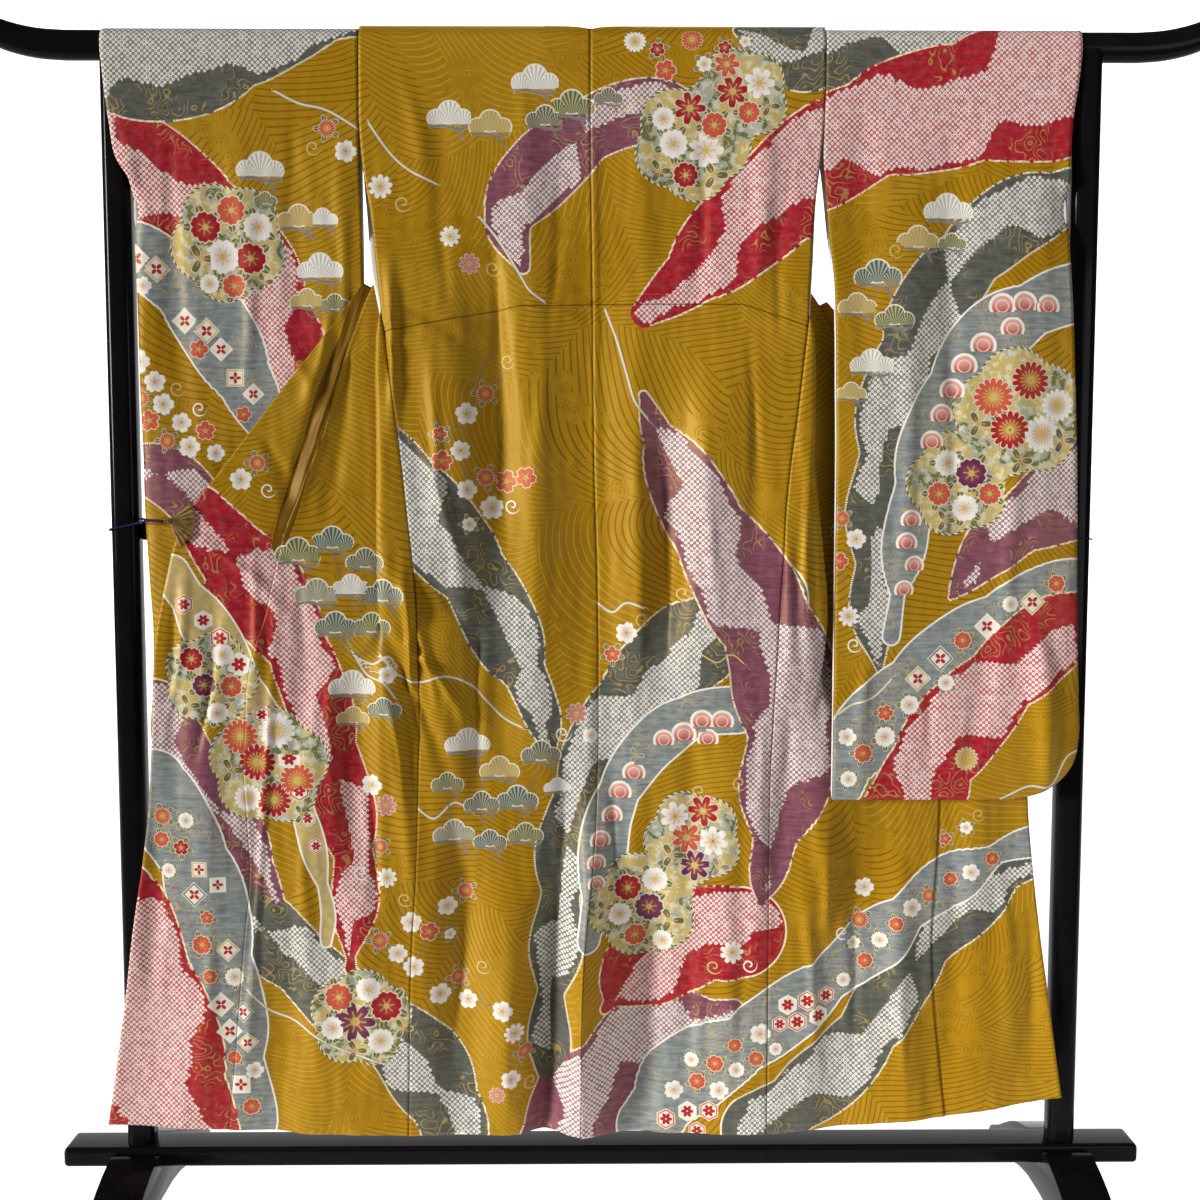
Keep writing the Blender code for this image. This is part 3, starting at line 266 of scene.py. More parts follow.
SLEEVE_LEFT = table("z inner outer rear_outer y rear_in rear_out", """
168 -34.34 -70.2 -69.8 -2.4 2.3 2.4
161 -34.34 -69.4 -67.7 -2.5 1.6 2.3
155.3 -34.3 -68.2 -66.5 -2.6 0.8 1.5
153.2 -34.25 -66.8 -66.4 -2.6 0.5 0.9
151 -34.2 -66.6 -66.6 -2.4 0.2 0.3
145 -34.1 -66.5 -66.5 -2 -0.2 -0.1
139 -34.1 -66.4 -66.4 -1.5 -0.3 -0.3
132 -34.2 -66.3 -66.3 -1.5 -0.3 -0.3
124 -34.3 -66.2 -66.2 -1.9 -0.7 -0.7
115 -34.4 -65.9 -65.9 -2.4 -1.2 -1.2
106 -34.5 -65.7 -65.7 -2.8 -1.6 -1.6
97 -34.6 -65.3 -65.3 -2.9 -1.7 -1.7
88 -34.7 -64.9 -64.9 -3 -1.8 -1.8
79 -34.8 -65.3 -65.3 -3 -1.8 -1.8
73.5 -34.9 -65.6 -65.6 -3 -1.8 -1.8
70 -34.9 -65 -65 -3 -1.8 -1.8
67.3 -34.9 -63 -63 -3 -1.8 -1.8
65.6 -34.9 -60.6 -60.6 -3 -1.8 -1.8
64.7 -34.9 -57 -57 -2.4 -2.4 -2.4
""")
SLEEVE_RIGHT = table("z inner outer rear_outer y rear_in rear_out", """
168 31.54 67.4 67.4 -2.4 2.3 2.4
161 31.34 66.5 66.4 -2.6 1.6 1.9
155.3 31.2 66.2 66.2 -3 0.6 0.6
153.2 31.35 66.2 66.2 -3.3 -0.1 -0.2
151 31.5 66.1 66.1 -3.6 -0.8 -0.9
145 31.9 66.2 66.2 -4.3 -2.3 -2.3
139 32.6 66.4 66.4 -5 -3.6 -3.6
132 32.8 66.7 66.7 -5.6 -4.3 -4.3
124 32.9 67 67 -5.9 -4.6 -4.6
115 33 67.3 67.3 -6.3 -5 -5
106 33 67.5 67.5 -6.5 -5.2 -5.2
97 33 67.7 67.7 -6.5 -5.2 -5.2
88 33 68 68 -6.5 -5.2 -5.2
79 33 68.4 68.4 -6.5 -5.2 -5.2
73.5 33 68.5 68.5 -6.5 -5.2 -5.2
70 33 67.8 67.8 -6.5 -5.2 -5.2
67.3 33 65.8 65.8 -6.5 -5.2 -5.2
65.6 33 63 63 -6.5 -5.2 -5.2
64.7 33 59 59 -5.9 -5.9 -5.9
""")
print("rows of a body panel:", len(BACK_LEFT["z"]))

# %% The large soft folds
# Place across the panel (0 to 1), heights between which a fold lives, depth and half width, in cm.
def folds(text):
    return table("across top bottom depth width", text)


BACK_LEFT_FOLDS = folds("""
0.5 150 96 1.3 3.2
0.55 118 58 1.2 3
0.72 140 92 -0.9 3.6
0.3 165 70 -0.6 4.2
0.7 66 8 1.6 3.4
0.4 50 8 -1.2 3.4
0.22 60 4 4.2 2.6
0 70 2 -3.6 2.6
0.9 96 60 -0.7 2.2
""")
BACK_RIGHT_FOLDS = folds("""
0.36 128 74 1.4 2.9
0.2 150 66 -0.8 2.8
0.62 136 70 -1 4.4
0 70 2 -3.6 2.6
0.3 60 4 3.1 3.6
0.58 52 6 1.4 3.2
0.8 84 20 -0.8 3.2
""")
FRONT_LEFT_FOLDS = folds("""
0.18 92 62 -0.9 2
0.38 90 52 0.9 2.4
0.62 84 40 -0.7 2.8
0.3 60 4 -0.8 3.6
0.74 50 4 1 3.4
0.55 40 0 -0.7 3
""")
FRONT_RIGHT_FOLDS = folds("""
0.3 88 40 -0.7 3
0.62 90 20 0.7 3.4
0.4 50 0 0.8 3
0.8 60 0 -0.8 3
""")
OKUMI_FOLDS = folds("""
0.45 98 40 -0.8 3
0.75 70 0 0.7 2.8
0.3 44 0 -0.6 3
""")
SLEEVE_FOLDS = folds("""
0.22 150 80 -0.35 4
0.55 165 84 0.35 4.5
0.8 140 76 -0.3 4
""")
NECK_TURN = table("start out turn stand", """
0.35 -0.15 0 0.06
1.1 0.05 6 0.12
2.2 0.3 14 0.22
3.6 0.7 24 0.38
""")
print("folds in the left back:", len(BACK_LEFT_FOLDS["depth"]))

# %% Sizes shared with the solids: the two walls in metres, all other lengths in centimetres
WALL, COLLAR_WALL = 0.0013, 0.0024
# Points across a piece, less one, and where they lie across a sleeve
BODY_COLUMNS, OKUMI_COLUMNS, COLLAR_COLUMNS = 14, 5, 6
SLEEVE_ACROSS = (0.0, 0.16, 0.32, 0.48, 0.64, 0.78, 0.89, 0.96, 1.0)
# How far an overlap is tucked under its front, and how far behind it lies there
SEAM_TUCK, SEAM_BEHIND = 0.25, 0.16
# Lower end of the cuff's opening, a sleeve's width, its flare over the bar, its rounded bottom
CUFF_END, SLEEVE_WIDTH, SLEEVE_FLARE, BAG_ROUND = 151.0, 34.0, 0.3, 6.0
# Shares of a fold's height and of a panel's width over which folds die out
FOLD_END, EDGE_HOLD = 0.35, 0.12
COLLAR_WIDTH, COLLAR_BEHIND, COLLAR_LEAN = 5.5, 0.46, 0.80
# Height from which the cloth bends over the bar
BEND_FROM = 168.0
# Layers of a fold lie this far apart. The others are the turns of a swag and of a pleat.
LAYER_PITCH, SWAG_TURN, PLEAT_BACK, PLEAT_SHARE = 1.0, 0.2, 2.1, 0.30
# The row at which the overlap starts
KENSAKI_ROW = 5
# The neck's ends on the bar, and the angles at which rows lie over it
NECK_LEFT, NECK_RIGHT = -10.5, 6.9
FRONT_TURNS, REAR_TURNS = (0, 30, 60), (90, 120, 150, 180)
# The bar's middle and half sizes, and the cloth's distance from it
BAR_HEIGHT, BAR_HALF_HIGH, BAR_HALF_DEEP = 172.0, 2.1, 1.9
OVER_BAR_UP, OVER_BAR_OUT = 0.23, 0.30
print("bar top at", BAR_HEIGHT + BAR_HALF_HIGH)

# %% [markdown]
# ## Rows of points
#
# Each function below gives one row of points across a panel. The back hangs almost flat. The front
# has to spread outwards, so its upper rows swing in behind the back and out again, lower rows fold in
# a pleat at the side seam, and the last ones lie flat.

# %% Fold shapes
def fade(z, top, bottom):
    """1 in the middle of a fold's height and 0 past its ends, with soft ends."""
    reach = FOLD_END * (top - bottom)
    blend = np.minimum(np.clip((top - z) / reach, 0.0, 1.0), np.clip((z - bottom) / reach, 0.0, 1.0))
    return blend * blend * (3.0 - 2.0 * blend)


def fold_depth(folds, across, z, span):
    """Sum of the soft folds at a place across the panel."""
    away = (across - folds["across"]) * span / folds["width"]
    return float(np.sum(folds["depth"] * np.exp(-away * away) * fade(z, folds["top"], folds["bottom"])))


def edge_hold(across):
    """Folds die out at a sewn or free side edge, so neighbours keep meeting there."""
    return min(1.0, across / EDGE_HOLD)


def arch_place(angle):
    """y and z of the cloth over the bar, from the viewer's side (0) to the rear (180)."""
    turn = math.radians(angle)
    y = -(BAR_HALF_DEEP + OVER_BAR_OUT) * math.cos(turn)
    return y, BAR_HEIGHT + (BAR_HALF_HIGH + OVER_BAR_UP) * math.sin(turn)


print("cloth over the bar:", [round(v, 2) for v in arch_place(90)])

# %% Rows of the back
def back_row(rows, folds, index):
    z, side, centre = rows["z"][index], rows["side"][index], rows["centre"][index]
    points = []
    for k in range(BODY_COLUMNS + 1):
        t = k / BODY_COLUMNS
        y = rows["y_side"][index] + (rows["y_centre"][index] - rows["y_side"][index]) * t**1.5
        y += fold_depth(folds, 1.0 - t, z, abs(side - centre)) * edge_hold(t)
        points.append((side + (centre - side) * t, y, z))
    return points


def arch_row(angle, side, inner):
    y, z = arch_place(angle)
    return [(side + (inner - side) * k / BODY_COLUMNS, y, z) for k in range(BODY_COLUMNS + 1)]


print("points in a row of the back:", len(back_row(BACK_LEFT, BACK_LEFT_FOLDS, 0)))

# %% Rows of the front
def swag_path(tuck, reach):
    """The row goes inwards from its side edge, turns behind itself and comes back outwards."""
    half = BODY_COLUMNS // 2
    path = [(-tuck * k / half, 0.0) for k in range(half)]
    path.append((-tuck - SWAG_TURN, 0.5 * LAYER_PITCH))
    return path + [(-tuck + (tuck + reach) * k / half, LAYER_PITCH) for k in range(half)]


def pleat_path(strip, tuck, reach):
    """A strip turned outwards, a tuck behind it and the rest of the row, which runs on outwards."""
    turned = ((0.0, 0.0), (0.45, -0.30), (0.85, -0.20), (1.0, 0.45), (0.80, 1.0))
    tucked = ((0.45, 1.05), (0.85, 1.1), (1.0, 1.6), (0.85, PLEAT_BACK))
    path = [(strip * share, LAYER_PITCH * deep) for share, deep in turned]
    path += [(strip - tuck * share, LAYER_PITCH * deep) for share, deep in tucked]
    left = BODY_COLUMNS + 1 - len(path)
    rest = reach - strip + tuck
    for k in range(left):
        share = PLEAT_SHARE + 0.70 * k / (left - 1)
        path.append((strip - tuck + rest * share, LAYER_PITCH * PLEAT_BACK))
    return path


def front_row(rows, folds, index):
    z, side = rows["z"][index], rows["side"][index]
    out = math.copysign(1.0, side)
    reach = out * (rows["edge"][index] - side)
    swag, pleat = rows["swag"][index], rows["pleat"][index]
    paths = (
        swag_path(rows["tuck"][index], reach),
        pleat_path(rows["strip"][index], rows["tuck"][index], reach),
        [(reach * k / BODY_COLUMNS, 0.0) for k in range(BODY_COLUMNS + 1)],
    )
    shares = (swag, pleat, 1.0 - swag - pleat)
    last = paths[0][-1][1] * swag + paths[1][-1][1] * pleat
    points = []
    for k in range(BODY_COLUMNS + 1):
        t = k / BODY_COLUMNS
        along = sum(share * path[k][0] for share, path in zip(shares, paths))
        behind = sum(share * path[k][1] for share, path in zip(shares, paths))
        y = rows["y_side"][index] + (rows["edge_y"][index] - rows["y_side"][index]) * t + behind - last * t
        y += shares[2] * fold_depth(folds, t, z, reach) * edge_hold(t) * edge_hold(1.0 - t)
        points.append((side + out * along, y, z + (rows["edge_z"][index] - z) * t))
    return points


print("points in a row of the front:", len(front_row(FRONT_LEFT, FRONT_LEFT_FOLDS, 0)))

# %% Whole panels
def body_rows(back, back_folds, front, front_folds, neck):
    """Up the back from the hem, over the bar and down the front."""
    rows = [back_row(back, back_folds, k) for k in reversed(range(len(back["z"])))]
    rows += [arch_row(angle, back["side"][0], back["centre"][0]) for angle in FRONT_TURNS]
    rows += [arch_row(angle, front["side"][0], neck) for angle in REAR_TURNS]
    return np.array(rows + [front_row(front, front_folds, k) for k in range(len(front["z"]))])


def okumi_rows(front, front_folds, okumi):
    """The overlap panel, which is sewn along the front's outer edge."""
    rows = []
    for k in range(len(okumi["edge"])):
        seam = front_row(front, front_folds, KENSAKI_ROW + k)[-1]
        edge = np.array((okumi["edge"][k], okumi["y"][k], okumi["edge_z"][k]))
        start = np.array((seam[0] - math.copysign(SEAM_TUCK, edge[0]), seam[1], seam[2]))
        row = []
        for c in range(OKUMI_COLUMNS + 1):
            t = c / OKUMI_COLUMNS
            depth = fold_depth(OKUMI_FOLDS, t, start[2], abs(edge[0] - start[0])) * 4.0 * t * (1.0 - t)
            depth += SEAM_BEHIND * max(0.0, 1.0 - 2.0 * t)
            row.append(start + (edge - start) * t + np.array((0.0, depth, 0.0)))
        rows.append(row)
    return np.array(rows)


def sleeve_wall(rows, sign, rear):
    """One wall of a sleeve, from the bar's top to the bottom seam."""
    made = []
    for angle in REAR_TURNS if rear else (REAR_TURNS[0], *reversed(FRONT_TURNS)):
        y, z = arch_place(angle)
        outer = rows["outer"][0] + SLEEVE_FLARE * sign
        made.append([(rows["inner"][0] + (outer - rows["inner"][0]) * t, y, z) for t in SLEEVE_ACROSS])
    for k, z in enumerate(rows["z"]):
        row = []
        for t in SLEEVE_ACROSS:
            outer = rows["rear_outer"][k] if rear else rows["outer"][k]
            rear_y = rows["rear_in"][k] + (rows["rear_out"][k] - rows["rear_in"][k]) * t
            round_edge = math.sqrt(1.0 - t**12) if z <= CUFF_END else 1.0
            above = min(1.0, (z - rows["z"][-1]) / BAG_ROUND)
            half = (rear_y - rows["y"][k]) / 2 * round_edge * math.sqrt(max(0.0, 1.0 - (1.0 - above) ** 8))
            wave = fold_depth(SLEEVE_FOLDS, t, z, SLEEVE_WIDTH) * (1.0 - t**6)
            y = (rows["y"][k] + rear_y) / 2 + (half if rear else -half) + wave
            row.append((rows["inner"][k] + (outer - rows["inner"][k]) * t, y, z))
        made.append(row)
    return np.array(made)


LEFT = (BACK_LEFT, BACK_LEFT_FOLDS, FRONT_LEFT, FRONT_LEFT_FOLDS)
RIGHT = (BACK_RIGHT, BACK_RIGHT_FOLDS, FRONT_RIGHT, FRONT_RIGHT_FOLDS)
print("a body panel's coarse grid:", body_rows(*LEFT, NECK_LEFT).shape)

# %% The collar's rows
def over_bar(run, stand):
    """A point behind the bar, a run along the cloth from the bar's top."""
    deep = BAR_HALF_DEEP + OVER_BAR_OUT + COLLAR_WALL / CM + stand
    high = BAR_HALF_HIGH + OVER_BAR_UP + COLLAR_WALL / CM + stand
    quarter = math.pi / 2 * (deep + high) / 2
    if run < quarter:
        turn = math.pi / 2 * run / quarter
        return deep * math.sin(turn), BAR_HEIGHT + high * math.cos(turn)
    return deep, BAR_HEIGHT - (run - quarter)


def neck_rows(neck):
    """The rows that turn from the neck seam on top of the bar to the front edge behind it."""
    inwards = -math.copysign(1.0, neck)
    rows = []
    for start, out, turn, stand in zip(*NECK_TURN.values()):
        turn = math.radians(turn)
        row = []
        for c in range(COLLAR_COLUMNS + 1):
            step = COLLAR_WIDTH * c / COLLAR_COLUMNS
            y, z = over_bar(start + step * math.cos(turn), stand)
            row.append((neck - inwards * out + inwards * step * math.sin(turn), y, z))
        rows.append(row)
    return rows


def collar_half(front, okumi, neck):
    """One half of the collar, from the back of the neck to its lower end."""
    seam = [(front["edge"][k], front["edge_y"][k], front["edge_z"][k]) for k in range(KENSAKI_ROW + 1)]
    seam += [(okumi["edge"][k], okumi["y"][k], okumi["edge_z"][k]) for k in range(1, 6)]
    rows = []
    for k, (x, y, z) in enumerate(seam):
        before, after = seam[max(k - 1, 0)], seam[min(k + 1, len(seam) - 1)]
        run, drop = after[0] - before[0], after[2] - before[2]
        length = math.hypot(run, drop)
        down = (-math.copysign(1.0, run) * abs(drop) / length, -abs(run) / length)
        row = []
        for c in range(COLLAR_COLUMNS + 1):
            part = c / COLLAR_COLUMNS
            step = COLLAR_WIDTH * part
            row.append((x + down[0] * step, y + COLLAR_BEHIND + COLLAR_LEAN * part, z + down[1] * step))
        rows.append(row)
    return neck_rows(neck) + rows


def collar_rows():
    """Both halves, joined by three rows across the back of the neck."""
    left = np.array(collar_half(FRONT_LEFT, OKUMI_LEFT, NECK_LEFT))
    right = np.array(collar_half(FRONT_RIGHT, OKUMI_RIGHT, NECK_RIGHT))
    middle = [left[0] + (right[0] - left[0]) * t for t in (0.25, 0.5, 0.75)]
    return np.concatenate([left[::-1], np.array(middle), right])


print("the collar's coarse grid:", collar_rows().shape)

# %% [markdown]
# ## From a few rows to a fine sheet
#
# Silk bends smoothly, so the coarse rows are read again along smooth curves through their points, about
# every five millimetres. That is fine enough to carry small wrinkles and the edges of the dyed bands.
# A subdivision surface would also smooth the grid, but it would pull the edges inwards.

# %% Smooth curves through a grid
def smooth_lines(values, knots, places):
    """values (lines, points, 3), known at knots (lines, points), read at places (lines, count)."""
    gap = np.maximum(np.diff(knots, axis=1), 1e-3)
    slope = np.diff(values, axis=1) / gap[..., None]
    pull = np.empty_like(values)
    both = gap[:, 1:] + gap[:, :-1]
    pull[:, 1:-1] = (slope[:, 1:] * gap[:, :-1, None] + slope[:, :-1] * gap[:, 1:, None]) / both[..., None]
    pull[:, 0], pull[:, -1] = slope[:, 0], slope[:, -1]
    start = np.concatenate([knots[:, :1], knots[:, :1] + np.cumsum(gap, axis=1)], axis=1)
    cell = np.clip((start[:, None, :] <= places[:, :, None]).sum(axis=2) - 1, 0, knots.shape[1] - 2)
    wide = np.take_along_axis(gap, cell, axis=1)
    t = ((places - np.take_along_axis(start, cell, axis=1)) / wide)[..., None]
    here, there = cell[..., None], cell[..., None] + 1
    p, q = np.take_along_axis(values, here, 1), np.take_along_axis(values, there, 1)
    m, n = np.take_along_axis(pull, here, 1), np.take_along_axis(pull, there, 1)
    wide = wide[..., None]
    return ((2 * t**3 - 3 * t**2 + 1) * p + (t**3 - 2 * t**2 + t) * wide * m
            + (3 * t**2 - 2 * t**3) * q + (t**3 - t**2) * wide * n)


def running(steps):
    """Length from the start at each point, for the steps between the points."""
    return np.concatenate([np.zeros_like(steps[:1]), np.cumsum(steps, axis=0)])


def read_along(grid, knots, places):
    """The same grid with its rows at other places along it."""
    lines = grid.shape[1]
    knots, places = np.tile(knots, (lines, 1)), np.tile(places, (lines, 1))
    return smooth_lines(grid.swapaxes(0, 1), knots, places).swapaxes(0, 1)


def lengths_along(grid):
    """Length from the first point of each line, for lines along axis 1."""
    steps = np.linalg.norm(np.diff(grid, axis=1), axis=2)
    return np.concatenate([np.zeros((len(grid), 1)), np.cumsum(np.maximum(steps, 1e-3), axis=1)], axis=1)


def fine_sheet(grid, columns, cell, coarse_rows=(), coarse_cell=1.2):
    """The grid read again on smooth curves, a cell apart along it and in equal parts across it."""
    steps = np.linalg.norm(np.diff(grid, axis=0), axis=2).mean(axis=1)
    knots = running(np.maximum(steps, 1e-3))
    places = []
    for k, step in enumerate(np.diff(knots)):
        count = max(1, math.ceil(step / (coarse_cell if k in coarse_rows else cell)))
        places += [knots[k] + step * j / count for j in range(count)]
    tall = read_along(grid, knots, np.array(places + [knots[-1]]))
    across = lengths_along(tall)
    shares = np.linspace(0.0, 1.0, columns + 1)
    return smooth_lines(tall, across, across[:, -1:] * shares)


BODY_CELLS, BODY_CELL = 66, 0.50
print("a body panel's fine grid:", fine_sheet(body_rows(*LEFT, NECK_LEFT), BODY_CELLS, BODY_CELL).shape)

# %% [markdown]
# ## Small wrinkles
#
# Hanging silk keeps long soft creases where it was folded and where its weight pulls. Each one here is
# a line from its upper to its lower end, with a bend, a half width and a depth of its own.
# All layers move by the same amount at the same place, so a layer never cuts through its neighbour.

# %% From picture units to the cloth
UNIT_ACROSS, UNIT_DOWN, UNIT = 0.1435, 0.1448, 0.144
MIDDLE_UNITS, MIDDLE_X = 600.0, -0.3
TOP_UNITS, TOP_Z = 30.0, 174.2


def cloth_place(px, py):
    """Centimetres in the plane of the cloth, for a place given in picture units (1200 across)."""
    px, py = np.asarray(px, float), np.asarray(py, float)
    return (px - MIDDLE_UNITS) * UNIT_ACROSS + MIDDLE_X, TOP_Z - (py - TOP_UNITS) * UNIT_DOWN


print("middle of the picture on the cloth:", [round(float(v), 1) for v in cloth_place(600, 600)])

# %% Creases: upper end, lower end, sideways bend, half width (all in picture units) and depth
CREASES = table("x1 y1 x2 y2 bend wide deep", """
494 230 496 520 6 13 5
480 580 478 810 -6 14 5
452 790 444 1050 8 15 6
520 960 516 1110 4 12 5
660 430 666 650 8 13 5
593 60 596 560 0 7 -2.5
597 560 581 1130 -4 8 -3
634 420 640 660 4 10 -4
704 360 716 600 -5 12 -3
745 330 752 560 5 9 3
782 500 786 700 3 10 -4
812 330 800 560 -4 9 3
430 330 436 560 5 12 -3
545 340 540 640 -5 12 -3
418 420 470 640 10 10 -4
384 540 438 700 8 8 -4.5
378 600 420 740 6 7 4
392 620 470 720 10 7 -4
400 660 450 780 6 7 4
372 640 404 800 8 7 -4
425 560 480 650 6 7 3
388 720 410 900 5 9 -3.5
360 700 372 930 5 10 3
330 640 345 900 -6 11 -3
300 560 292 760 8 10 3
255 540 240 740 10 10 -3.5
215 560 190 760 10 9 3.5
190 545 165 720 6 8 -3
205 530 290 610 10 7 -3
200 520 320 560 8 6 2.5
196 512 330 520 -5 6 -2.5
180 560 176 800 -4 9 2.5
250 760 240 1000 6 12 3
300 820 318 1080 -6 12 -3
150 780 138 1000 5 10 3
205 900 190 1110 4 11 -3
350 940 346 1110 4 11 3
560 700 556 900 5 10 3
540 820 548 1010 -5 9 -3
612 720 600 1000 5 11 3
640 760 636 1110 -6 13 -4
690 700 684 900 6 12 3
700 930 694 1120 5 12 -3
735 760 742 1080 6 11 3
765 700 758 1000 -3 10 -3
790 690 776 880 4 9 3
800 830 820 1090 6 13 -3.5
850 800 862 1100 5 12 3
905 850 915 1100 -4 11 -3
960 830 958 1090 6 13 3.5
1010 860 1022 1080 4 11 -3
1040 900 1046 1080 3 9 2.5
400 60 440 250 8 14 -3
440 90 452 300 -6 11 2.5
520 60 524 260 5 13 -2
560 120 548 320 6 10 2
640 70 650 290 -6 13 -2.5
700 110 690 320 6 12 2.5
760 60 752 300 5 12 -3
780 180 776 330 -3 9 2.5
400 300 470 340 6 7 2
500 300 620 306 5 7 1.5
640 305 790 330 6 7 1.8
130 80 140 420 8 14 -2.5
180 120 196 500 -10 16 3
240 70 246 420 8 17 -2.5
300 100 308 360 -6 14 2.5
340 120 344 330 4 9 -2.5
860 60 866 420 -6 16 2.5
900 200 892 640 8 18 -3
950 80 958 560 -8 18 3
1000 240 996 700 8 17 -3
1048 120 1056 560 4 14 2.5
1030 600 1046 770 6 12 -3
980 600 962 770 8 12 2.5
870 620 860 790 -5 13 -3
920 640 930 780 4 12 2
280 330 330 420 8 10 -2
262 420 300 510 6 8 2
330 290 296 420 10 9 -2.5
350 330 322 520 8 8 2.5
140 600 138 700 3 8 -2
368 279 286 538 0 6 -3.5
358 276 274 532 0 5 2
279 574 231 1119 2 6 -3
392 250 396 430 2 7 -6
404 540 410 700 3 7 -6
806 340 806 660 -4 9 -5
824 800 830 930 3 12 -5
1036 620 1046 780 3 13 -5
""")


CREASE_SCALE, ENDS_PAST = 0.18, 0.1
CALM_TOP, CALM_SIDE = 171.0, 74.0


def crease_depth(x, z):
    """How far the cloth moves away from the viewer at x, z, in centimetres, with a fine ripple added."""
    depth = np.zeros_like(x)
    for x1, y1, x2, y2, bend, wide, deep in zip(*CREASES.values()):
        (ax, bx), (az, bz) = cloth_place([x1, x2], [y1, y2])
        run, drop = bx - ax, bz - az
        length = math.hypot(run, drop)
        t = ((x - ax) * run + (z - az) * drop) / length**2
        near = (t > -ENDS_PAST) & (t < 1.0 + ENDS_PAST)
        bow = bend * UNIT * np.sin(np.pi * np.clip(t, 0.0, 1.0))
        away = (x - ax) * drop / length - (z - az) * run / length + bow
        width = wide * UNIT * (0.75 + 0.35 * np.sin(5.0 * t + x1))
        ends = np.clip(np.minimum(t + ENDS_PAST, 1.0 + ENDS_PAST - t) / 0.45, 0.0, 1.0)
        depth += near * deep * CREASE_SCALE * np.exp(-(away / width) ** 2) * ends**2 * (3.0 - 2.0 * ends)
    small = 0.035 * np.sin(1.9 * x + 0.35 * z) * np.sin(0.23 * z + 0.4 * x)
    small += 0.025 * np.sin(3.3 * x - 0.22 * z + 2.0 * np.sin(0.11 * z)) * np.sin(0.17 * z + 1.0)
    calm = np.clip((CALM_TOP - z) / 14.0, 0.0, 1.0) * np.clip((CALM_SIDE - np.abs(x)) / 8.0, 0.0, 1.0)
    return (depth + small) * calm


print("creases placed:", len(CREASES["x1"]))

# %% [markdown]
# ## The dyed design
#
# On the real silk, artists tie and dye broad winding bands over a gold ground. Some bands are shibori,
# with fine tied dots, and others look like mist and carry flowers. A band is drawn here as a line through
# the middle with a half width at each point. For every point of the cloth, the distance to the band's
# edge is worked out once and stored on the mesh. The material turns that distance into a crisp outline,
# a plain margin and a field of dots. The bands and flowers are this model's own arrangement of common
# patterns, and follow the general colours and flow of such a robe.
# One narrow band on the left front is no dye but painted shade: a dark brown strip where a fold turns away.

# %% Colours of the dyes, and of one painted fold shade, as linear red, green and blue
DYES = {
    "red": (0.40, 0.009, 0.026),
    "plum": (0.225, 0.068, 0.105),
    "slate": (0.095, 0.105, 0.088),
    "mist": (0.175, 0.200, 0.205),
    "sand": (0.55, 0.40, 0.14),
    "white": (0.78, 0.75, 0.68),
    "coral": (0.52, 0.085, 0.045),
    "crimson": (0.33, 0.010, 0.020),
    # painted shade: the dark brown of a fold of the front that turns away into shadow
    "bronze": (0.135, 0.060, 0.003),
    "grape": (0.110, 0.020, 0.070),
    "moss": (0.115, 0.125, 0.045),
    "teal": (0.060, 0.110, 0.115),
    "ash": (0.24, 0.24, 0.20),
    "rose": (0.50, 0.20, 0.19),
}
print("dyes:", len(DYES))
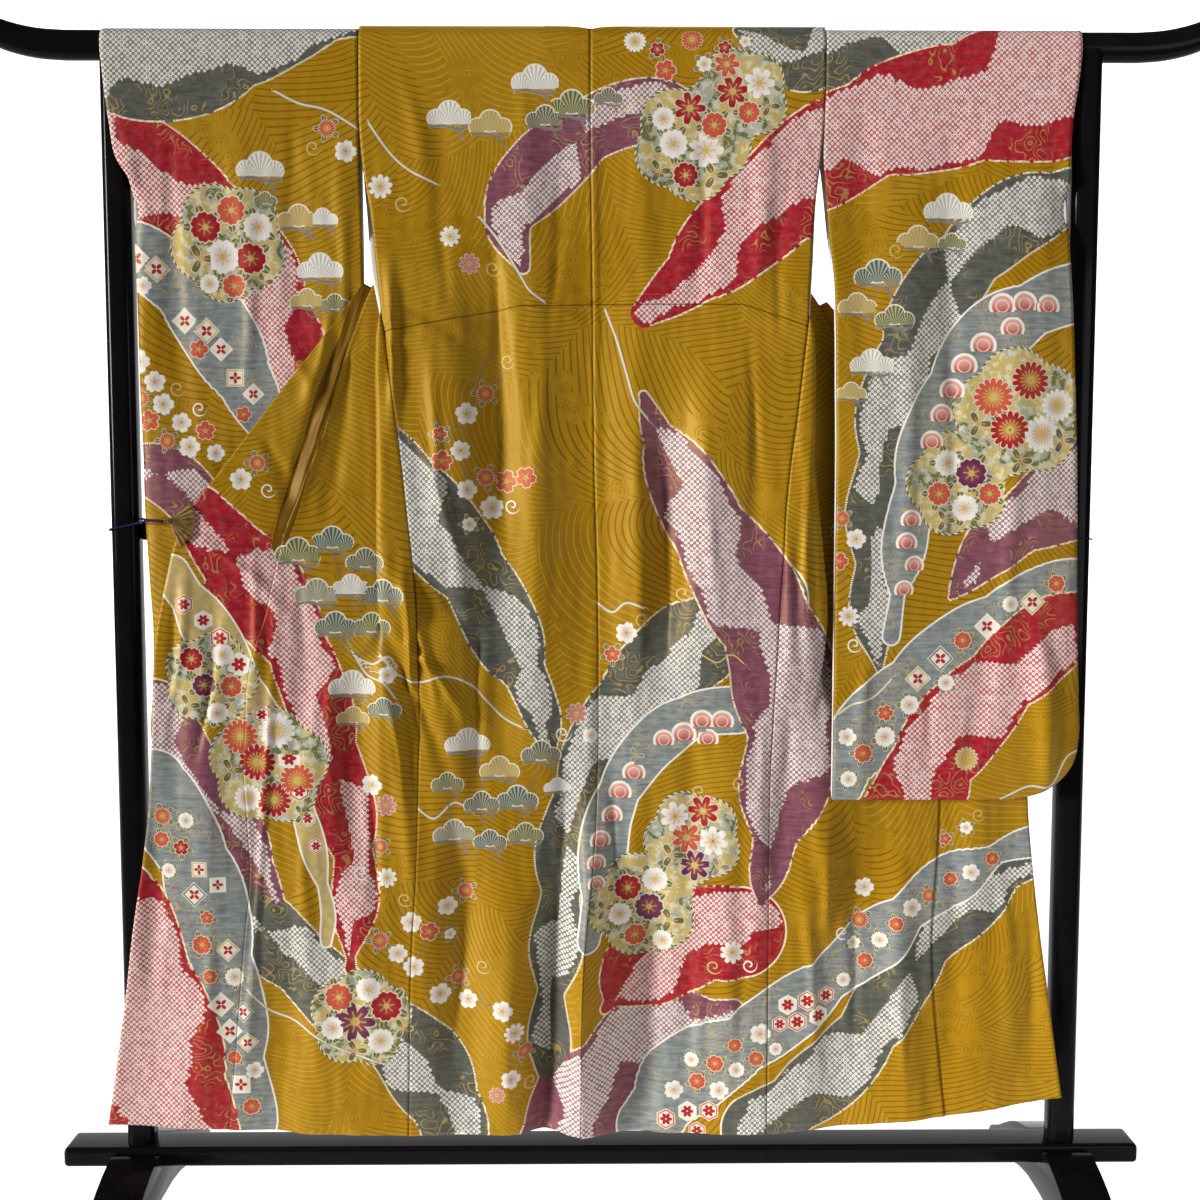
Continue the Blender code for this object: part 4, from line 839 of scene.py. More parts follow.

# %% The bands: plane, layer, kind and dye, then x, y and half width of each point in picture units. The plain band on the front is painted shade, not a dye.
BANDS = """
body 0 shibori slate | 745 30 20 | 800 55 36 | 850 30 30
body 0 shibori plum | 700 96 10 | 650 108 27 | 600 124 32 | 545 165 35 | 510 214 28 | 524 262 4
back 1 shibori red | 880 110 46 | 800 176 54 | 742 222 46 | 692 268 34 | 644 306 10
body 2 shibori plum | 643 386 3 | 660 430 22 | 704 510 40 | 750 585 48 |
    782 655 52 | 790 725 48 | 782 795 38 | 772 850 20 | 764 890 3
body 0 shibori slate | 762 586 40 | 726 612 46 | 680 640 44 | 630 688 38 | 592 752 32 |
    566 834 28 | 556 925 24 | 548 1005 20 | 548 1080 16 | 552 1120 8
body 1 mist mist | 764 700 10 | 740 696 22 | 690 704 26 | 644 742 24 | 610 802 24 | 600 862 22 | 588 930 10
back 0 shibori slate | 340 420 30 | 372 452 44 | 404 480 46 | 440 520 42 |
    480 572 38 | 510 632 33 | 536 690 20 | 552 738 4
body 0 shibori plum | 560 1150 50 | 606 1076 50 | 662 1034 44 | 735 1004 12
body 1 shibori red | 606 1004 10 | 648 962 42 | 700 930 52 | 742 924 46
body 1 mist mist | 650 1130 34 | 690 1076 40 | 762 1030 34 |
    850 962 28 | 930 892 26 | 1000 848 18 | 1050 830 12
body 0 shibori slate | 764 1130 38 | 850 1062 36 | 920 962 30 | 990 892 24 | 1040 852 18
body 1 shibori red | 204 500 24 | 250 560 44 | 292 622 36 |
    322 702 30 | 340 782 28 | 352 862 24 | 346 958 10
body 0 shibori plum | 152 700 34 | 192 760 36 | 240 832 28 | 272 894 8
body 1 mist mist | 150 770 36 | 188 842 40 | 212 932 36 | 228 1022 30 | 238 1120 26
body 2 shibori red | 118 876 34 | 132 952 50 | 150 1032 62 | 156 1130 72
body 0 shibori slate | 214 868 14 | 268 928 38 | 330 986 36 | 402 1040 40 | 444 1110 40 | 452 1150 30
body 2 gold sand | 176 560 20 | 226 640 24 | 290 764 14 | 322 884 9 | 322 932 3
body 0 shibori plum | 128 480 22 | 168 486 24 | 214 500 14
front 2 plain bronze | 365 276 4 | 325 395 7.5 | 281 534 8
sleeve_left 1 shibori slate | 50 20 86 | 130 34 84 | 190 40 78 | 246 34 58 | 300 24 38 | 366 20 20
sleeve_left 0 shibori red | 60 96 44 | 112 140 50 | 176 190 50 |
    236 240 46 | 276 308 42 | 296 366 30 | 280 404 12
sleeve_left 1 mist mist | 96 236 20 | 150 252 30 | 204 302 36 | 246 372 32 | 268 420 14
sleeve_left 1 shibori plum | 120 452 26 | 180 474 28 | 240 560 30 | 262 640 26
sleeve_right 1 shibori red | 1100 78 76 | 1020 88 70 | 960 102 62 | 880 122 54 | 800 160 50
sleeve_right 0 shibori slate | 1090 186 24 | 1050 196 32 | 996 222 36 | 930 292 36 |
    890 382 32 | 872 482 26 | 868 582 20 | 880 668 8
sleeve_right 0 shibori slate | 800 56 44 | 880 36 34 | 990 20 26
sleeve_right 1 mist mist | 1090 282 26 | 1040 296 30 | 980 332 32 |
    934 402 28 | 908 482 24 | 896 562 16 | 888 622 6
sleeve_right 0 shibori plum | 1090 470 46 | 1044 494 40 | 992 528 28 | 946 586 5
sleeve_right 1 mist mist | 1090 566 24 | 1020 596 34 | 930 656 36 | 868 716 34 | 836 776 26
sleeve_right 2 shibori red | 1090 598 30 | 1040 628 38 | 984 682 42 | 936 742 46 | 914 800 50
"""
PLANES, LAYERS = ("body", "sleeve_left", "sleeve_right"), 3
# The plain kind is used only by the painted fold shade, drawn as its colour alone, with no rim.
KINDS = {"shibori": 0.2, "mist": 0.5, "gold": 0.7, "plain": 0.9}
TIED_BELOW, GOLDEN_ABOVE, PLAIN_ABOVE = 0.35, 0.6, 0.8


def read_bands():
    found = []
    for line in rows_of(BANDS):
        head, *points = line.split("|")
        plane, layer, kind, dye = head.split()
        found.append((plane, int(layer), kind, dye, np.array([p.split() for p in points], float)))
    return found


bands = read_bands()
print("bands:", len(bands))

# %% Round medallions: plane, x, y and radius in picture units. They lie over the bands.
ROUNDELS = """
sleeve_left 232 236 56
body 212 664 46
body 268 752 58
body 356 1010 50
body 690 140 56
body 738 96 46
body 644 898 54
body 694 828 48
sleeve_right 1012 404 62
sleeve_right 952 472 50
"""
roundels = [(plane, *map(float, numbers)) for plane, *numbers in map(str.split, rows_of(ROUNDELS))]
print("medallions:", len(roundels))

# %% Distances from the cloth to a band
def smooth_route(points, parts=10):
    """A band's middle line with more points, on a smooth curve through the given ones."""
    points = np.concatenate([[2 * points[0] - points[1]], points, [2 * points[-1] - points[-2]]])
    route = []
    for a, b, c, d in zip(points, points[1:], points[2:], points[3:]):
        for k in range(parts):
            t = k / parts
            route.append(0.5 * (2 * b + (c - a) * t + (2 * a - 5 * b + 4 * c - d) * t**2
                                + (3 * b - a - 3 * c + d) * t**3))
    return np.array(route + [points[-2]])


LOBE_STEP, LOBE_HEIGHT, BAY_STEP, BAY_DEPTH = 4.9, 1.25, 5.6, 4.5


def band_distance(points, u, v, number):
    """Depth inside a band's edge, depth inside its dots, place along it, and the way towards its middle."""
    route = smooth_route(points)
    x, z = cloth_place(route[:, 0], route[:, 1])
    wide = route[:, 2] * UNIT
    step = np.hypot(np.diff(x), np.diff(z))
    start = running(step)
    best = np.full(u.shape, -1e3)
    along, side = np.zeros_like(u), np.zeros_like(u)
    way = np.zeros((len(u), 3))
    for k in range(len(step)):
        run, drop = x[k + 1] - x[k], z[k + 1] - z[k]
        t = np.clip(((u - x[k]) * run + (v - z[k]) * drop) / step[k] ** 2, 0.0, 1.0)
        aside = np.stack([u - x[k] - run * t, v - z[k] - drop * t], axis=1)
        away = np.linalg.norm(aside, axis=1)
        inside = wide[k] + (wide[k + 1] - wide[k]) * t - away
        closer = inside > best
        best = np.where(closer, inside, best)
        along = np.where(closer, start[k] + step[k] * t, along)
        side = np.where(closer, np.sign((u - x[k]) * drop - (v - z[k]) * run), side)
        way[closer, :2] = -(aside / np.maximum(away, 1e-3)[:, None])[closer]
    shift = number * 2.7 + side * 3.1
    lobes = np.abs(np.sin(along / LOBE_STEP + shift)) + 0.15 * np.sin(along / 2.1 + 2.0 * shift)
    room = np.clip(wide.max() / 5.0, 0.3, 1.0)
    edge = best + LOBE_HEIGHT * (lobes - 0.55) * room
    bay = np.clip((np.sin(along / BAY_STEP + 1.7 * shift) + 0.15) / 0.8, 0.0, 1.0)
    bay = BAY_DEPTH * room * bay * bay * (3.0 - 2.0 * bay)
    margin = 1.0 + bay + 0.3 * np.sin(along / 1.3 + shift)
    return np.stack([edge, edge - margin, along], axis=1), way


print("route points of the first band:", len(smooth_route(bands[0][4])))

# %% Distance to a line
FAR = 9.0


def around(x, z, reach, u, v):
    """Which points lie within reach of the box round a line."""
    return (u > x.min() - reach) & (u < x.max() + reach) & (v > z.min() - reach) & (v < z.max() + reach)


def distance_to_line(points, u, v):
    """Centimetres to a line, negative on one side, so that it passes through 0 between two points of a mesh."""
    x, z = cloth_place(*np.array(points, float).T)
    best = np.full(u.shape, FAR)
    last = len(x) - 2
    for k in range(len(x) - 1):
        run, drop = x[k + 1] - x[k], z[k + 1] - z[k]
        t = ((u - x[k]) * run + (v - z[k]) * drop) / (run**2 + drop**2)
        past = ((t < 0.0) & (k == 0)) | ((t > 1.0) & (k == last))
        t = np.clip(t, 0.0, 1.0)
        away = np.hypot(u - x[k] - run * t, v - z[k] - drop * t)
        side = np.where((u - x[k]) * drop - (v - z[k]) * run < 0.0, -1.0, 1.0)
        closer = (away < np.abs(best)) & ~past
        best = np.where(closer, away * side, best)
    return best


print("distance to a line:", distance_to_line(((0, 0), (10, 0)), np.zeros(1), np.zeros(1)).round(1))

# %% Drawn lines: plane, sort (0 white outline, 1 stem, 2 gold thread), then x and y of each point
LINES = """
back 0 480 212 500 236 520 268 530 284 546 296
back 0 604 300 616 332 626 366 634 392 648 410
sleeve_left 0 280 92 304 104 330 110 352 122 364 130
body 0 372 122 392 150 412 168 440 182
body 0 380 640 400 662 420 668 444 662 470 672 500 704 522 716
front 0 352 640 372 650 388 642 398 654
back 0 412 792 432 806 452 790 470 800
front 0 240 980 262 1004 290 1016 330 1040 372 1056
front 0 352 636 366 660 384 668 396 684
sleeve_right 0 836 700 850 690 872 682 890 664
sleeve_right 0 1000 786 1028 772 1052 772 1066 744 1080 736
back 0 596 590 612 600 626 590 646 596
body 1 510 350 500 372 486 384 476 398 468 404 452 424 444 450
body 1 468 404 462 440 470 470 486 466 506 470 526 466 540 452
body 1 486 466 492 496 470 512
body 1 470 400 484 360 496 340
body 1 462 884 444 898 426 922 408 912 396 900
body 1 462 884 452 910 446 928 454 974 436 988
body 1 376 930 394 944 410 958 426 922
body 1 464 996 500 1004 512 1028 522 1050 508 1076 494 1092
body 1 454 974 464 996 484 984
body 1 300 552 318 592 336 624 352 640 384 634
body 1 334 540 352 586 372 624
body 1 466 742 480 770 480 804 488 842 500 852
body 1 446 782 452 834 470 846
body 1 540 754 524 790 516 800 524 836
sleeve_left 1 140 352 156 372 142 388 150 410 168 430 190 436 216 442
sleeve_left 1 156 372 164 394 182 412 206 420
sleeve_left 1 266 178 286 200 302 226 320 232
sleeve_left 1 322 274 308 304 330 310
sleeve_right 1 872 282 860 306 888 324 870 366 850 396
sleeve_right 1 942 218 920 246 936 254
sleeve_right 1 838 506 852 526 836 548 842 570
body 2 596 92 620 112 640 100 660 112
body 2 700 640 716 648 730 640 744 650
"""


def read_lines():
    found = []
    for line in rows_of(LINES):
        plane, sort, *numbers = line.split()
        found.append((plane, int(sort), np.array(numbers, float).reshape(-1, 2)))
    return found


drawn_lines = read_lines()
LINE_REACH, BAND_REACH, SCALLOP = 2.0, 3.0, 0.022


def nearer(first, second):
    return np.where(np.abs(second) < np.abs(first), second, first)


def paint_lines(plane, u, v, front):
    """Distance to the nearest drawn line of each sort, in centimetres."""
    made = np.full((len(u), 3), FAR)
    for on, sort, points in drawn_lines:
        route = smooth_route(np.column_stack([points, np.ones(len(points))]), 6)
        x, z = cloth_place(route[:, 0], route[:, 1])
        near = around(x, z, LINE_REACH, u, v) & on_cloth(on, plane, front)
        if near.any():
            away = distance_to_line(route[:, :2], u[near], v[near])
            made[near, sort] = nearer(made[near, sort], away)
    return made


print("drawn lines:", len(drawn_lines))

# %% What each point of a sheet gets
def on_cloth(band_plane, plane, front):
    """Which points a band lies on. The back and the fronts are one design, but some bands keep to one."""
    if band_plane == "back":
        return ~front if plane == "body" else np.zeros_like(front)
    if band_plane == "front":
        return front if plane == "body" else np.zeros_like(front)
    return np.full_like(front, band_plane == plane)


def paint_layers(plane, u, v, front):
    """For three layers: vectors (edge, dots, along), colours (dye, kind) and the way inwards at each point."""
    made = []
    for layer in range(LAYERS):
        where = np.zeros((len(u), 3))
        where[:, :2] = -FAR
        look, way = np.zeros((len(u), 4)), np.zeros((len(u), 3))
        for number, (on, level, kind, dye, points) in enumerate(bands):
            if level != layer:
                continue
            x, z = cloth_place(points[:, 0], points[:, 1])
            reach = points[:, 2].max() * UNIT + BAND_REACH
            near = around(x, z, reach, u, v) & on_cloth(on, plane, front)
            if not near.any():
                continue
            found, inwards = band_distance(points, u[near], v[near], number)
            rows = np.flatnonzero(near)
            closer = found[:, 0] > where[rows, 0]
            rows = rows[closer]
            where[rows], way[rows] = found[closer], inwards[closer]
            look[rows] = (*DYES[dye], KINDS[kind])
        made.append((where, look, way))
    where = np.full((len(u), 3), -FAR)
    for _, px, py, radius in (roundel for roundel in roundels if roundel[0] == plane):
        x, z = cloth_place(px, py)
        away, turn = np.hypot(u - x, v - z), np.arctan2(v - z, u - x)
        edge = radius * UNIT - away + radius * SCALLOP * (np.abs(np.sin(2.5 * turn + px)) - 0.64)
        closer = edge > where[:, 0]
        found = np.stack([edge, away, turn * radius * UNIT], axis=1)
        where[closer] = found[closer]
    made.append((where, None, None))
    return made


print("layers:", len(paint_layers("body", np.zeros(4), np.full(4, 100.0), np.zeros(4, bool))))

# %% [markdown]
# ## Flowers, pines, tiles and waves
#
# A flower is painted by its own small map: each face of the sheet near it stores where it lies from the
# flower's middle, in parts of the flower's radius. The material then draws petals, leaves and stamens
# from that place. A separate little mesh for each petal would be heavier and would flicker on the cloth.

# %% Small motifs: plane, form and dye, then x, y, radius (picture units) and turn (degrees) of each.
FORMS = {
    # kind, petals, half width of a petal, part of the radius that the petals fill
    "cherry": (0.1, 5, 0.42, 0.98),
    "sprig": (0.1, 5, 0.40, 0.70),
    "daisy": (0.1, 9, 0.20, 0.98),
    "mum": (0.1, 16, 0.14, 0.98),
    "mumleaf": (0.1, 16, 0.14, 0.72),
    "peony": (0.1, 7, 0.40, 0.74),
    "maple": (0.1, 7, 0.23, 0.98),
    "leaf": (0.1, 3, 0.24, 0.98),
    "tile": (0.3, 6, 0.30, 0.98),
    "lozenge": (0.3, 4, 0.26, 0.98),
    "pine": (0.5, 3, 0.30, 0.98),
    "wave": (0.7, 3, 0.30, 0.98),
    "curl": (0.9, 3, 0.30, 0.98),
}
MOTIFS = """
body daisy white | 384 184 14 10 | 452 232 12 | 384 866 12 30 | 512 1028 12 20 | 734 944 14 | 846 606 12
body curl sand | 406 200 10 | 494 262 9 | 508 352 9 | 642 606 9 | 682 580 9 30 | 402 888 9 | 480 960 9 |
    528 1084 9 | 716 960 9 | 700 780 9 | 740 770 9 | 984 804 8
body daisy rose | 471 258 12 30 | 576 702 13 | 384 792 13 10 | 494 1092 10 40
body pine white | 536 82 24 | 452 116 23 | 352 574 20 | 352 672 24 | 466 730 23 | 556 776 14
body pine moss | 572 106 24 | 300 540 24 | 372 612 20 | 446 770 17 | 524 824 19
body pine sand | 492 124 22 | 352 704 17 | 498 758 21
body pine slate | 546 118 20 | 608 98 15 | 366 548 20 | 480 792 19 | 540 742 21
body mum white | 634 44 13 20 | 276 716 17 10 | 246 784 13
body sprig crimson | 656 52 12 50 | 722 50 11 10 | 178 834 13 20
body cherry coral | 664 72 12 | 444 450 12 10 | 506 470 13 | 526 466 12 60 | 426 922 11 | 840 520 11
body mum coral | 690 42 13 12 | 240 722 17 | 296 766 17
body sprig white | 702 66 12 30 | 742 44 9 40 | 470 512 11 | 446 928 9 | 860 938 11 20 | 972 818 10
body mumleaf coral | 486 384 14 | 486 466 14 30 | 378 834 12 | 462 884 14 | 376 930 14 | 454 974 13 |
    522 1050 12 | 262 452 13 | 160 802 14 | 936 888 12 | 866 914 14
body cherry white | 468 404 12 20 | 462 440 11 40 | 468 478 11 | 492 496 13 20 | 626 620 12 | 590 724 9 |
    388 660 10 | 370 772 12 | 444 898 11 | 408 912 12 20 | 394 944 11 | 410 958 12 30 | 436 988 12 |
    464 996 11 20 | 500 1004 12 | 508 1076 11 | 456 1140 9 | 870 880 11 | 246 468 12 20 | 246 1066 10 |
    676 1092 11 | 722 1090 11 | 764 1030 12 | 918 900 11 | 978 864 10
body sprig coral | 442 424 12 | 612 642 13 20 | 202 906 11 20 | 952 830 10
body curl white | 512 494 9 | 562 722 10 20 | 358 860 9 | 752 958 9 40 | 852 634 10 | 272 478 9 | 848 926 9
body pine teal | 334 528 22 | 384 580 22 | 336 612 22 | 384 694 18 | 516 788 22 | 488 830 18
body pine ash | 318 580 23 | 452 822 22
body peony white | 184 806 12 30 | 164 858 11 | 228 968 14 20 | 224 640 13 | 218 698 12 | 364 980 15 20 |
    328 1020 14 | 376 1034 15 | 662 118 13 | 672 142 16 20 | 656 872 15 20 | 620 908 14 | 664 936 12 |
    694 1060 11 | 740 1068 12 20 | 780 1046 10 | 850 976 11 | 886 934 12
body peony coral | 158 826 12 | 196 934 15 | 204 966 11 | 226 1052 11 | 242 1104 13 | 232 672 13 20 |
    334 988 17 | 712 124 15 10 | 746 112 13 | 636 932 14 | 700 1082 13 20 | 718 1062 13 | 738 1042 11 |
    760 1056 12 | 872 956 12 | 902 916 11 | 958 872 11 | 1000 850 11
body lozenge sand | 196 856 10 | 222 940 11 45 | 240 1036 10 45
body lozenge teal | 190 882 12 45 | 236 1004 10 45
body lozenge white | 214 872 10 | 214 996 12 45 | 222 1024 12 45 | 232 1080 12
body tile coral | 188 590 11 | 222 624 10 | 262 700 10 | 298 776 10 | 314 832 9 | 668 1122 12 | 712 1112 12 |
    700 1134 11 | 812 996 12 | 802 1018 12 | 832 992 11 | 784 1020 10
body tile white | 206 606 11 | 240 650 11 | 288 744 11 | 690 1114 12 | 792 1000 12 | 824 1012 12
body tile sand | 306 804 10
body peony crimson | 194 644 14 10 | 382 998 19 10 | 684 172 15 | 628 880 17
body peony grape | 206 670 14 30 | 650 902 18 10
body leaf moss | 190 690 11 | 230 756 12 | 288 738 10 | 350 1044 11 | 398 1022 10 | 712 172 13 | 658 168 11 |
    766 106 10 | 672 914 13 | 604 900 10 | 672 846 12
body mum crimson | 256 748 18 | 272 786 17 20
body leaf teal | 300 800 12
body maple grape | 350 1014 20 | 696 856 15 10
body maple crimson | 688 108 15 | 730 92 15 10 | 704 800 15 20
body maple white | 704 148 16 | 756 84 14 | 676 806 14 | 714 830 14 40
body maple coral | 724 66 12 | 688 828 15
body leaf ash | 720 856 10 | 636 744 10
body wave coral | 684 722 13 | 702 708 12 | 722 708 12 | 634 762 12 | 620 782 12 | 600 830 11 | 596 852 10
body wave rose | 708 726 11 | 664 728 11 | 612 806 11 | 596 872 9
sleeve_left mumleaf coral | 332 128 14 | 142 388 13 | 168 430 13
sleeve_left cherry white | 350 150 12 | 146 278 10 | 140 352 13 | 156 372 12 20 | 164 394 12 | 182 412 11 |
    190 436 12 | 216 442 10
sleeve_left curl sand | 318 146 9 | 178 378 9
sleeve_left pine white | 266 166 24 | 326 214 16 | 322 262 24
sleeve_left pine sand | 302 214 22 | 308 292 18
sleeve_left pine moss | 270 196 12 | 336 296 16
sleeve_left peony crimson | 210 222 18 | 254 252 18
sleeve_left peony coral | 236 206 17 20 | 236 278 14
sleeve_left peony white | 262 222 16 | 226 250 19 10 | 212 276 11
sleeve_left leaf moss | 204 252 14 | 266 274 11
sleeve_left lozenge white | 140 252 13 45 | 186 312 12 45 | 222 340 11 45 | 254 384 10 45
sleeve_left lozenge sand | 160 262 12 45 | 208 322 12 45 | 236 368 11
sleeve_left cherry coral | 200 340 11 | 244 404 9 | 150 410 12 30 | 206 420 11 20 | 220 620 12
sleeve_left curl white | 200 398 9
sleeve_left sprig white | 126 370 9
sleeve_left mum white | 180 600 13
sleeve_right pine white | 942 206 25 | 866 356 22
sleeve_right pine sand | 912 236 22 | 852 300 20 | 846 384 16
sleeve_right pine moss | 946 238 15 | 888 312 20
sleeve_right pine teal | 872 270 24
sleeve_right curl sand | 890 246 9
sleeve_right mumleaf coral | 838 506 12
sleeve_right cherry white | 852 526 11 | 846 722 10
sleeve_right cherry coral | 836 548 10
sleeve_right daisy white | 846 602 12
sleeve_right curl white | 852 630 9
sleeve_right wave coral | 994 300 13 | 1016 298 13 | 1004 322 12 | 976 338 13 | 946 382 13 | 936 406 12 |
    906 508 11 | 902 530 11 | 900 576 10
sleeve_right wave rose | 1040 300 12 | 958 358 13 | 926 432 12 | 910 552 10
sleeve_right mum coral | 986 388 18
sleeve_right mum crimson | 1022 372 18 10 | 1002 420 18
sleeve_right mum white | 1050 396 15 | 1034 424 17
sleeve_right leaf moss | 972 414 12 | 1012 450 12 | 940 508 10
sleeve_right leaf teal | 1056 430 12
sleeve_right peony white | 942 452 15 | 960 496 15 | 1006 590 12 | 944 668 12 | 908 690 14 | 884 722 15 20 |
    848 764 12
sleeve_right peony grape | 966 462 18 20
sleeve_right peony coral | 934 482 14 | 984 482 13 | 1052 570 13 | 960 626 13 | 862 738 14
sleeve_right lozenge sand | 1028 588 12 45 | 916 664 12 45
sleeve_right lozenge white | 984 612 12 45
sleeve_right lozenge teal | 938 644 12 45
sleeve_right sprig coral | 884 698 13
sleeve_right mum sand | 966 744 14
"""


IN_MEDALLION, MEDALLION_CORE = 1.28, 0.9


def read_motifs():
    found = {plane: [] for plane in PLANES}
    for line in rows_of(MOTIFS):
        head, *places = line.split("|")
        plane, form, dye = head.split()
        for place in places:
            px, py, radius, turn = (*map(float, place.split()), 0.0)[:4]
            held = any(on == plane and math.hypot(px - a, py - b) < MEDALLION_CORE * r
                       for on, a, b, r in roundels)
            x, z = cloth_place(px, py)
            size = radius * UNIT * (IN_MEDALLION if held else 1.0)
            found[plane].append((float(x), float(z), size, math.radians(turn), form, dye))
    return found


motifs = read_motifs()
print("motifs:", {plane: len(found) for plane, found in motifs.items()})

# %% The motif that each face carries
MOTIF_REACH = 1.22


def paint_motifs(plane, middle, corners):
    """Own place within a motif for each corner of each face, and the motif's look for each face."""
    best = np.full(len(middle), MOTIF_REACH)
    local = np.full(corners.shape, FAR)
    look, form_of = np.zeros((len(middle), 4)), np.zeros((len(middle), 3))
    for x, z, radius, turn, form, dye in motifs[plane]:
        away = np.hypot(middle[:, 0] - x, middle[:, 1] - z) / radius
        closer = away < best
        if not closer.any():
            continue
        best = np.where(closer, away, best)
        place = (corners[closer] - (x, z)) / radius
        c, s = math.cos(turn), math.sin(turn)
        local[closer] = place @ np.array([[c, -s], [s, c]])
        kind, petals, width, reach = FORMS[form]
        look[closer] = (*DYES[dye], kind)
        form_of[closer] = (petals, width, reach)
    return local, look, form_of


print("forms:", ", ".join(FORMS))

# %% [markdown]
# ## Making a sheet
#
# A sheet is a grid of faces with its outer side towards the viewer. A Solidify modifier gives it the
# thickness of silk and lining, and its inner side takes the lining's material.

# %% Seams and stitch lines that show
STITCHED_TUCK = {
    "body_left": ((374, 327), (400, 322), (520, 299), (592, 297)),
    "body_right": ((592, 297), (740, 298), (800, 318), (812, 322)),
}
print("stitched lines:", len(STITCHED_TUCK))

# %% Attributes on a mesh
BAND_NEAR, LINE_NEAR = 0.1, 0.6


def store(mesh, name, kind, domain, values):
    field = {"FLOAT": "value", "FLOAT_VECTOR": "vector", "FLOAT_COLOR": "color"}[kind]
    layer = mesh.attributes.new(name, kind, domain)
    layer.data.foreach_set(field, np.ascontiguousarray(values, np.float32).ravel())


def store_map(mesh, name, values):
    layer = mesh.uv_layers.new(name=name)
    layer.uv.foreach_set("vector", np.ascontiguousarray(values, np.float32).ravel())


def printed_height(grid):
    """z of each point, carried on along the cloth where it bends over the bar."""
    v = grid[:, :, 2].copy()
    run = running(np.linalg.norm(np.diff(grid, axis=0), axis=2))
    for c in range(grid.shape[1]):
        high = np.flatnonzero(v[:, c] > BEND_FROM)
        if not len(high):
            continue
        top = high[0] + int(np.argmax(v[high, c]))
        first, last = high[0] - 1, high[-1] + 1
        lift = v[:, c].copy()
        if last < len(grid):
            lift[top:last] = v[last, c] + run[last, c] - run[top:last, c]
        if first >= 0:
            lift[first + 1:top + 1] = v[first, c] + run[first + 1:top + 1, c] - run[first, c]
        v[:, c] = lift
    return v


def sheet_mesh(name, points, faces, printed, plane, seam, front=None):
    """A mesh with its maps and its painted layers. points and printed are in centimetres."""
    front = np.zeros(len(printed), bool) if front is None else front
    mesh = bpy.data.meshes.new(name)
    mesh.from_pydata((points * CM).tolist(), [], faces.tolist())
    corners = printed[faces]
    store_map(mesh, "cloth", corners.reshape(-1, 2) * CM)
    layers = paint_layers(plane, printed[:, 0], printed[:, 1], front)
    for number, (where, look, way) in enumerate(layers):
        store(mesh, "band_%d" % number, "FLOAT_VECTOR", "POINT", where)
        if look is not None:
            store(mesh, "dye_%d" % number, "FLOAT_COLOR", "POINT", look)
            store(mesh, "way_%d" % number, "FLOAT_VECTOR", "POINT", way)
    local, look, form_of = paint_motifs(plane, corners.mean(axis=1), corners)
    store_map(mesh, "motif", local.reshape(-1, 2))
    store(mesh, "motif_dye", "FLOAT_COLOR", "FACE", look)
    store(mesh, "motif_form", "FLOAT_VECTOR", "FACE", form_of)
    store(mesh, "seam", "FLOAT", "POINT", seam)
    drawn = paint_lines(plane, printed[:, 0], printed[:, 1], front)
    store(mesh, "drawn", "FLOAT_VECTOR", "POINT", drawn)
    deepest = np.max([where[:, 0] for where, _, _ in layers], axis=0)
    banded = (deepest > -BAND_NEAR) | (np.abs(drawn).min(axis=1) < LINE_NEAR)
    sort = np.where(look[:, 3] > 0.0, 2, banded[faces].any(axis=1).astype(int))
    mesh.polygons.foreach_set("material_index", sort.astype(np.int32))
    mesh.shade_smooth()
    return add_object(name, mesh)


def finish_sheet(piece, wall, node):
    for finish in (*silks, lining):
        piece.data.materials.append(finish)
    solid = piece.modifiers.new("silk and lining", "SOLIDIFY")
    solid.thickness = wall
    solid.offset = -1.0
    solid.use_rim = True
    solid.material_offset = len(silks)
    solid.material_offset_rim = 0
    bpy.ops.object.select_all(action="DESELECT")
    piece.select_set(True)
    bpy.context.view_layer.objects.active = piece
    bpy.ops.object.modifier_apply(modifier=solid.name)
    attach(piece, "root")
    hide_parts(node)
    print(piece.name, "faces:", len(piece.data.polygons))


def grid_faces(index, outward):
    """Faces between the numbered points of a grid, turned so that their outer side follows the sign."""
    a, b, c, d = index[:-1, :-1], index[:-1, 1:], index[1:, 1:], index[1:, :-1]
    ring = (a, b, c, d) if outward < 0 else (a, d, c, b)
    return np.stack([r.ravel() for r in ring], axis=1)


def numbered(grid):
    rows, columns = grid.shape[:2]
    return np.arange(rows * columns).reshape(rows, columns)


def on_paper(grid, height):
    """Where each point of a grid lies in the design: its x, and a height along the cloth."""
    return np.stack([grid[:, :, 0], height], axis=2)


def hang_grid(name, grid, outward, height, seam, front=None):
    """A sheet of the body's design, made from one grid."""
    faces, printed = grid_faces(numbered(grid), outward), on_paper(grid, height).reshape(-1, 2)
    return sheet_mesh(name, grid.reshape(-1, 3), faces, printed, "body", seam, front)


print("ready to make sheets")

# %% [markdown]
# ## Finishes
#
# A material here is written as sums. One small class wraps a socket of the node tree, so that a line
# such as 1 - mask adds the nodes for it. Colours are mixed with Mix nodes, because a Math node would
# turn them grey.

# %% Node trees as sums
def sum_of(operation, turned=False):
    """A method that adds one Math node for a Flow and what stands beside it."""
    if turned:
        return lambda self, other: self.maths(operation, other, self)
    return lambda self, *others: self.maths(operation, self, *others)


